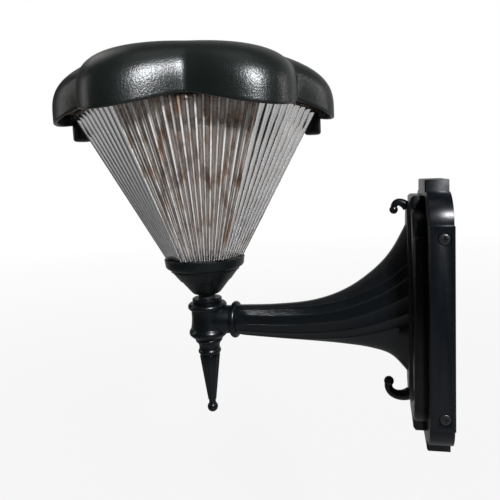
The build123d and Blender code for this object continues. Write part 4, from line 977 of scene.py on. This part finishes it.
# Studio of five soft lamps, a pale floor and a pale room.
coolWhite, warmWhite = (0.94, 0.96, 1.0), (1.0, 0.97, 0.94)
lamps = {
    # azimuth from the front towards the wall, elevation, distance, width, height, power in watts, colour
    "key": (34, 31, 1.0, 0.15, 0.17, 17.0, coolWhite),
    "left": (-84, 12, 1.1, 0.10, 0.60, 0.8, warmWhite),
    "leftTop": (-118, 44, 1.1, 0.40, 0.40, 0.5, warmWhite),
    "rightBack": (112, 18, 1.1, 0.12, 0.50, 1.2, warmWhite),
    "above": (20, 82, 1.2, 0.60, 0.60, 0.5, warmWhite),
}
target = Vector((-0.12, 0, 0.08))
for lampName, (azimuth, elevation, distance, width, height, power, colour) in lamps.items():
    a, e = math.radians(azimuth), math.radians(elevation)
    back = Vector((math.sin(a) * math.cos(e), -math.cos(a) * math.cos(e), math.sin(e)))
    data = bpy.data.lights.new(lampName, "AREA")
    data.shape = "RECTANGLE"
    data.size, data.size_y = width, height
    data.energy = power
    data.color = colour
    lamp = bpy.data.objects.new(lampName, data)
    lamp.location = target + back * distance
    lamp.rotation_euler = back.to_track_quat("Z", "Y").to_euler()
    bpy.context.scene.collection.objects.link(lamp)

room = {
    "floorHeight": -0.42, "floorReach": 9, "floorTones": (0.32, 0.36), "floorScale": 3, "floorRough": 0.9,
    "floorSeen": (0.6, 4.0, 0.9, 1.0),  # between these two distances the floor's white grows from 0.9 to 1
    # how much of the white a reflection sees, and where behind the object that starts and is full
    "reflected": (0.02, 0.46), "floorBehind": (0.2, 1.2), "wallsBehind": (0.6, 0.95),
    "colour": (0.9, 0.92, 1.0, 1), "strength": 0.03,
}
white = (1, 1, 1, 1)


def rayShare(tree, where, start, end):
    # 1 for what the camera sees straight or through glass; a reflection sees less, and only behind the object.
    path = tree.nodes.new("ShaderNodeLightPath")
    parts = tree.nodes.new("ShaderNodeSeparateXYZ")
    tree.links.new(where, parts.inputs[0])
    seen = maths(tree, "MAXIMUM", path.outputs["Is Camera Ray"], path.outputs["Is Transmission Ray"])
    behind = span(tree, parts.outputs["Y"], start, end, *room["reflected"])
    return maths(tree, "MAXIMUM", seen, maths(tree, "MULTIPLY", path.outputs["Is Glossy Ray"], behind))


def joinShaders(tree, share, first, second, output):
    mix = tree.nodes.new("ShaderNodeMixShader")
    for slot, value in enumerate((share, first.outputs[0], second.outputs[0])):
        tree.links.new(value, mix.inputs[slot])
    tree.links.new(mix.outputs[0], output.inputs[0])


def makeFloor():
    reach = room["floorReach"]
    corners = ((-reach, -reach), (reach, -reach), (reach, reach), (-reach, reach))
    floor = newPiece("paleFloor", [Vector((x, y, room["floorHeight"])) for x, y in corners], [(0, 1, 2, 3)])
    material, tree, shader, where = startMaterial("paleFloor")
    dark, light = ((tone,) * 3 for tone in room["floorTones"])
    tree.links.new(patches(tree, where, room["floorScale"], 2, dark, light), shader.inputs["Base Color"])
    shader.inputs["Roughness"].default_value = room["floorRough"]
    shader.inputs["Specular IOR Level"].default_value = 0.0
    glow = tree.nodes.new("ShaderNodeEmission")
    glow.inputs["Color"].default_value = white
    spot = tree.nodes.new("ShaderNodeNewGeometry").outputs["Position"]
    away = addNode(tree, "ShaderNodeVectorMath", operation="LENGTH")
    tree.links.new(spot, away.inputs[0])
    bright = span(tree, away.outputs["Value"], *room["floorSeen"])
    seen = maths(tree, "MULTIPLY", rayShare(tree, spot, *room["floorBehind"]), bright)
    output = next(n for n in tree.nodes if n.type == "OUTPUT_MATERIAL")
    joinShaders(tree, seen, shader, glow, output)
    floor.data.materials.append(material)


def makeWorld():
    world = bpy.data.worlds.new("paleRoom")
    bpy.context.scene.world = world
    world.use_nodes = True
    tree = world.node_tree
    tree.nodes.clear()
    output = tree.nodes.new("ShaderNodeOutputWorld")
    sides = []
    for colour, strength in ((room["colour"], room["strength"]), (white, 1.0)):
        side = tree.nodes.new("ShaderNodeBackground")
        side.inputs["Color"].default_value = colour
        side.inputs["Strength"].default_value = strength
        sides.append(side)
    facing = tree.nodes.new("ShaderNodeTexCoord").outputs["Generated"]
    joinShaders(tree, rayShare(tree, facing, *room["wallsBehind"]), *sides, output)


makeFloor()
makeWorld()
bpy.context.scene.view_settings.view_transform = "Standard"
print("studio made")
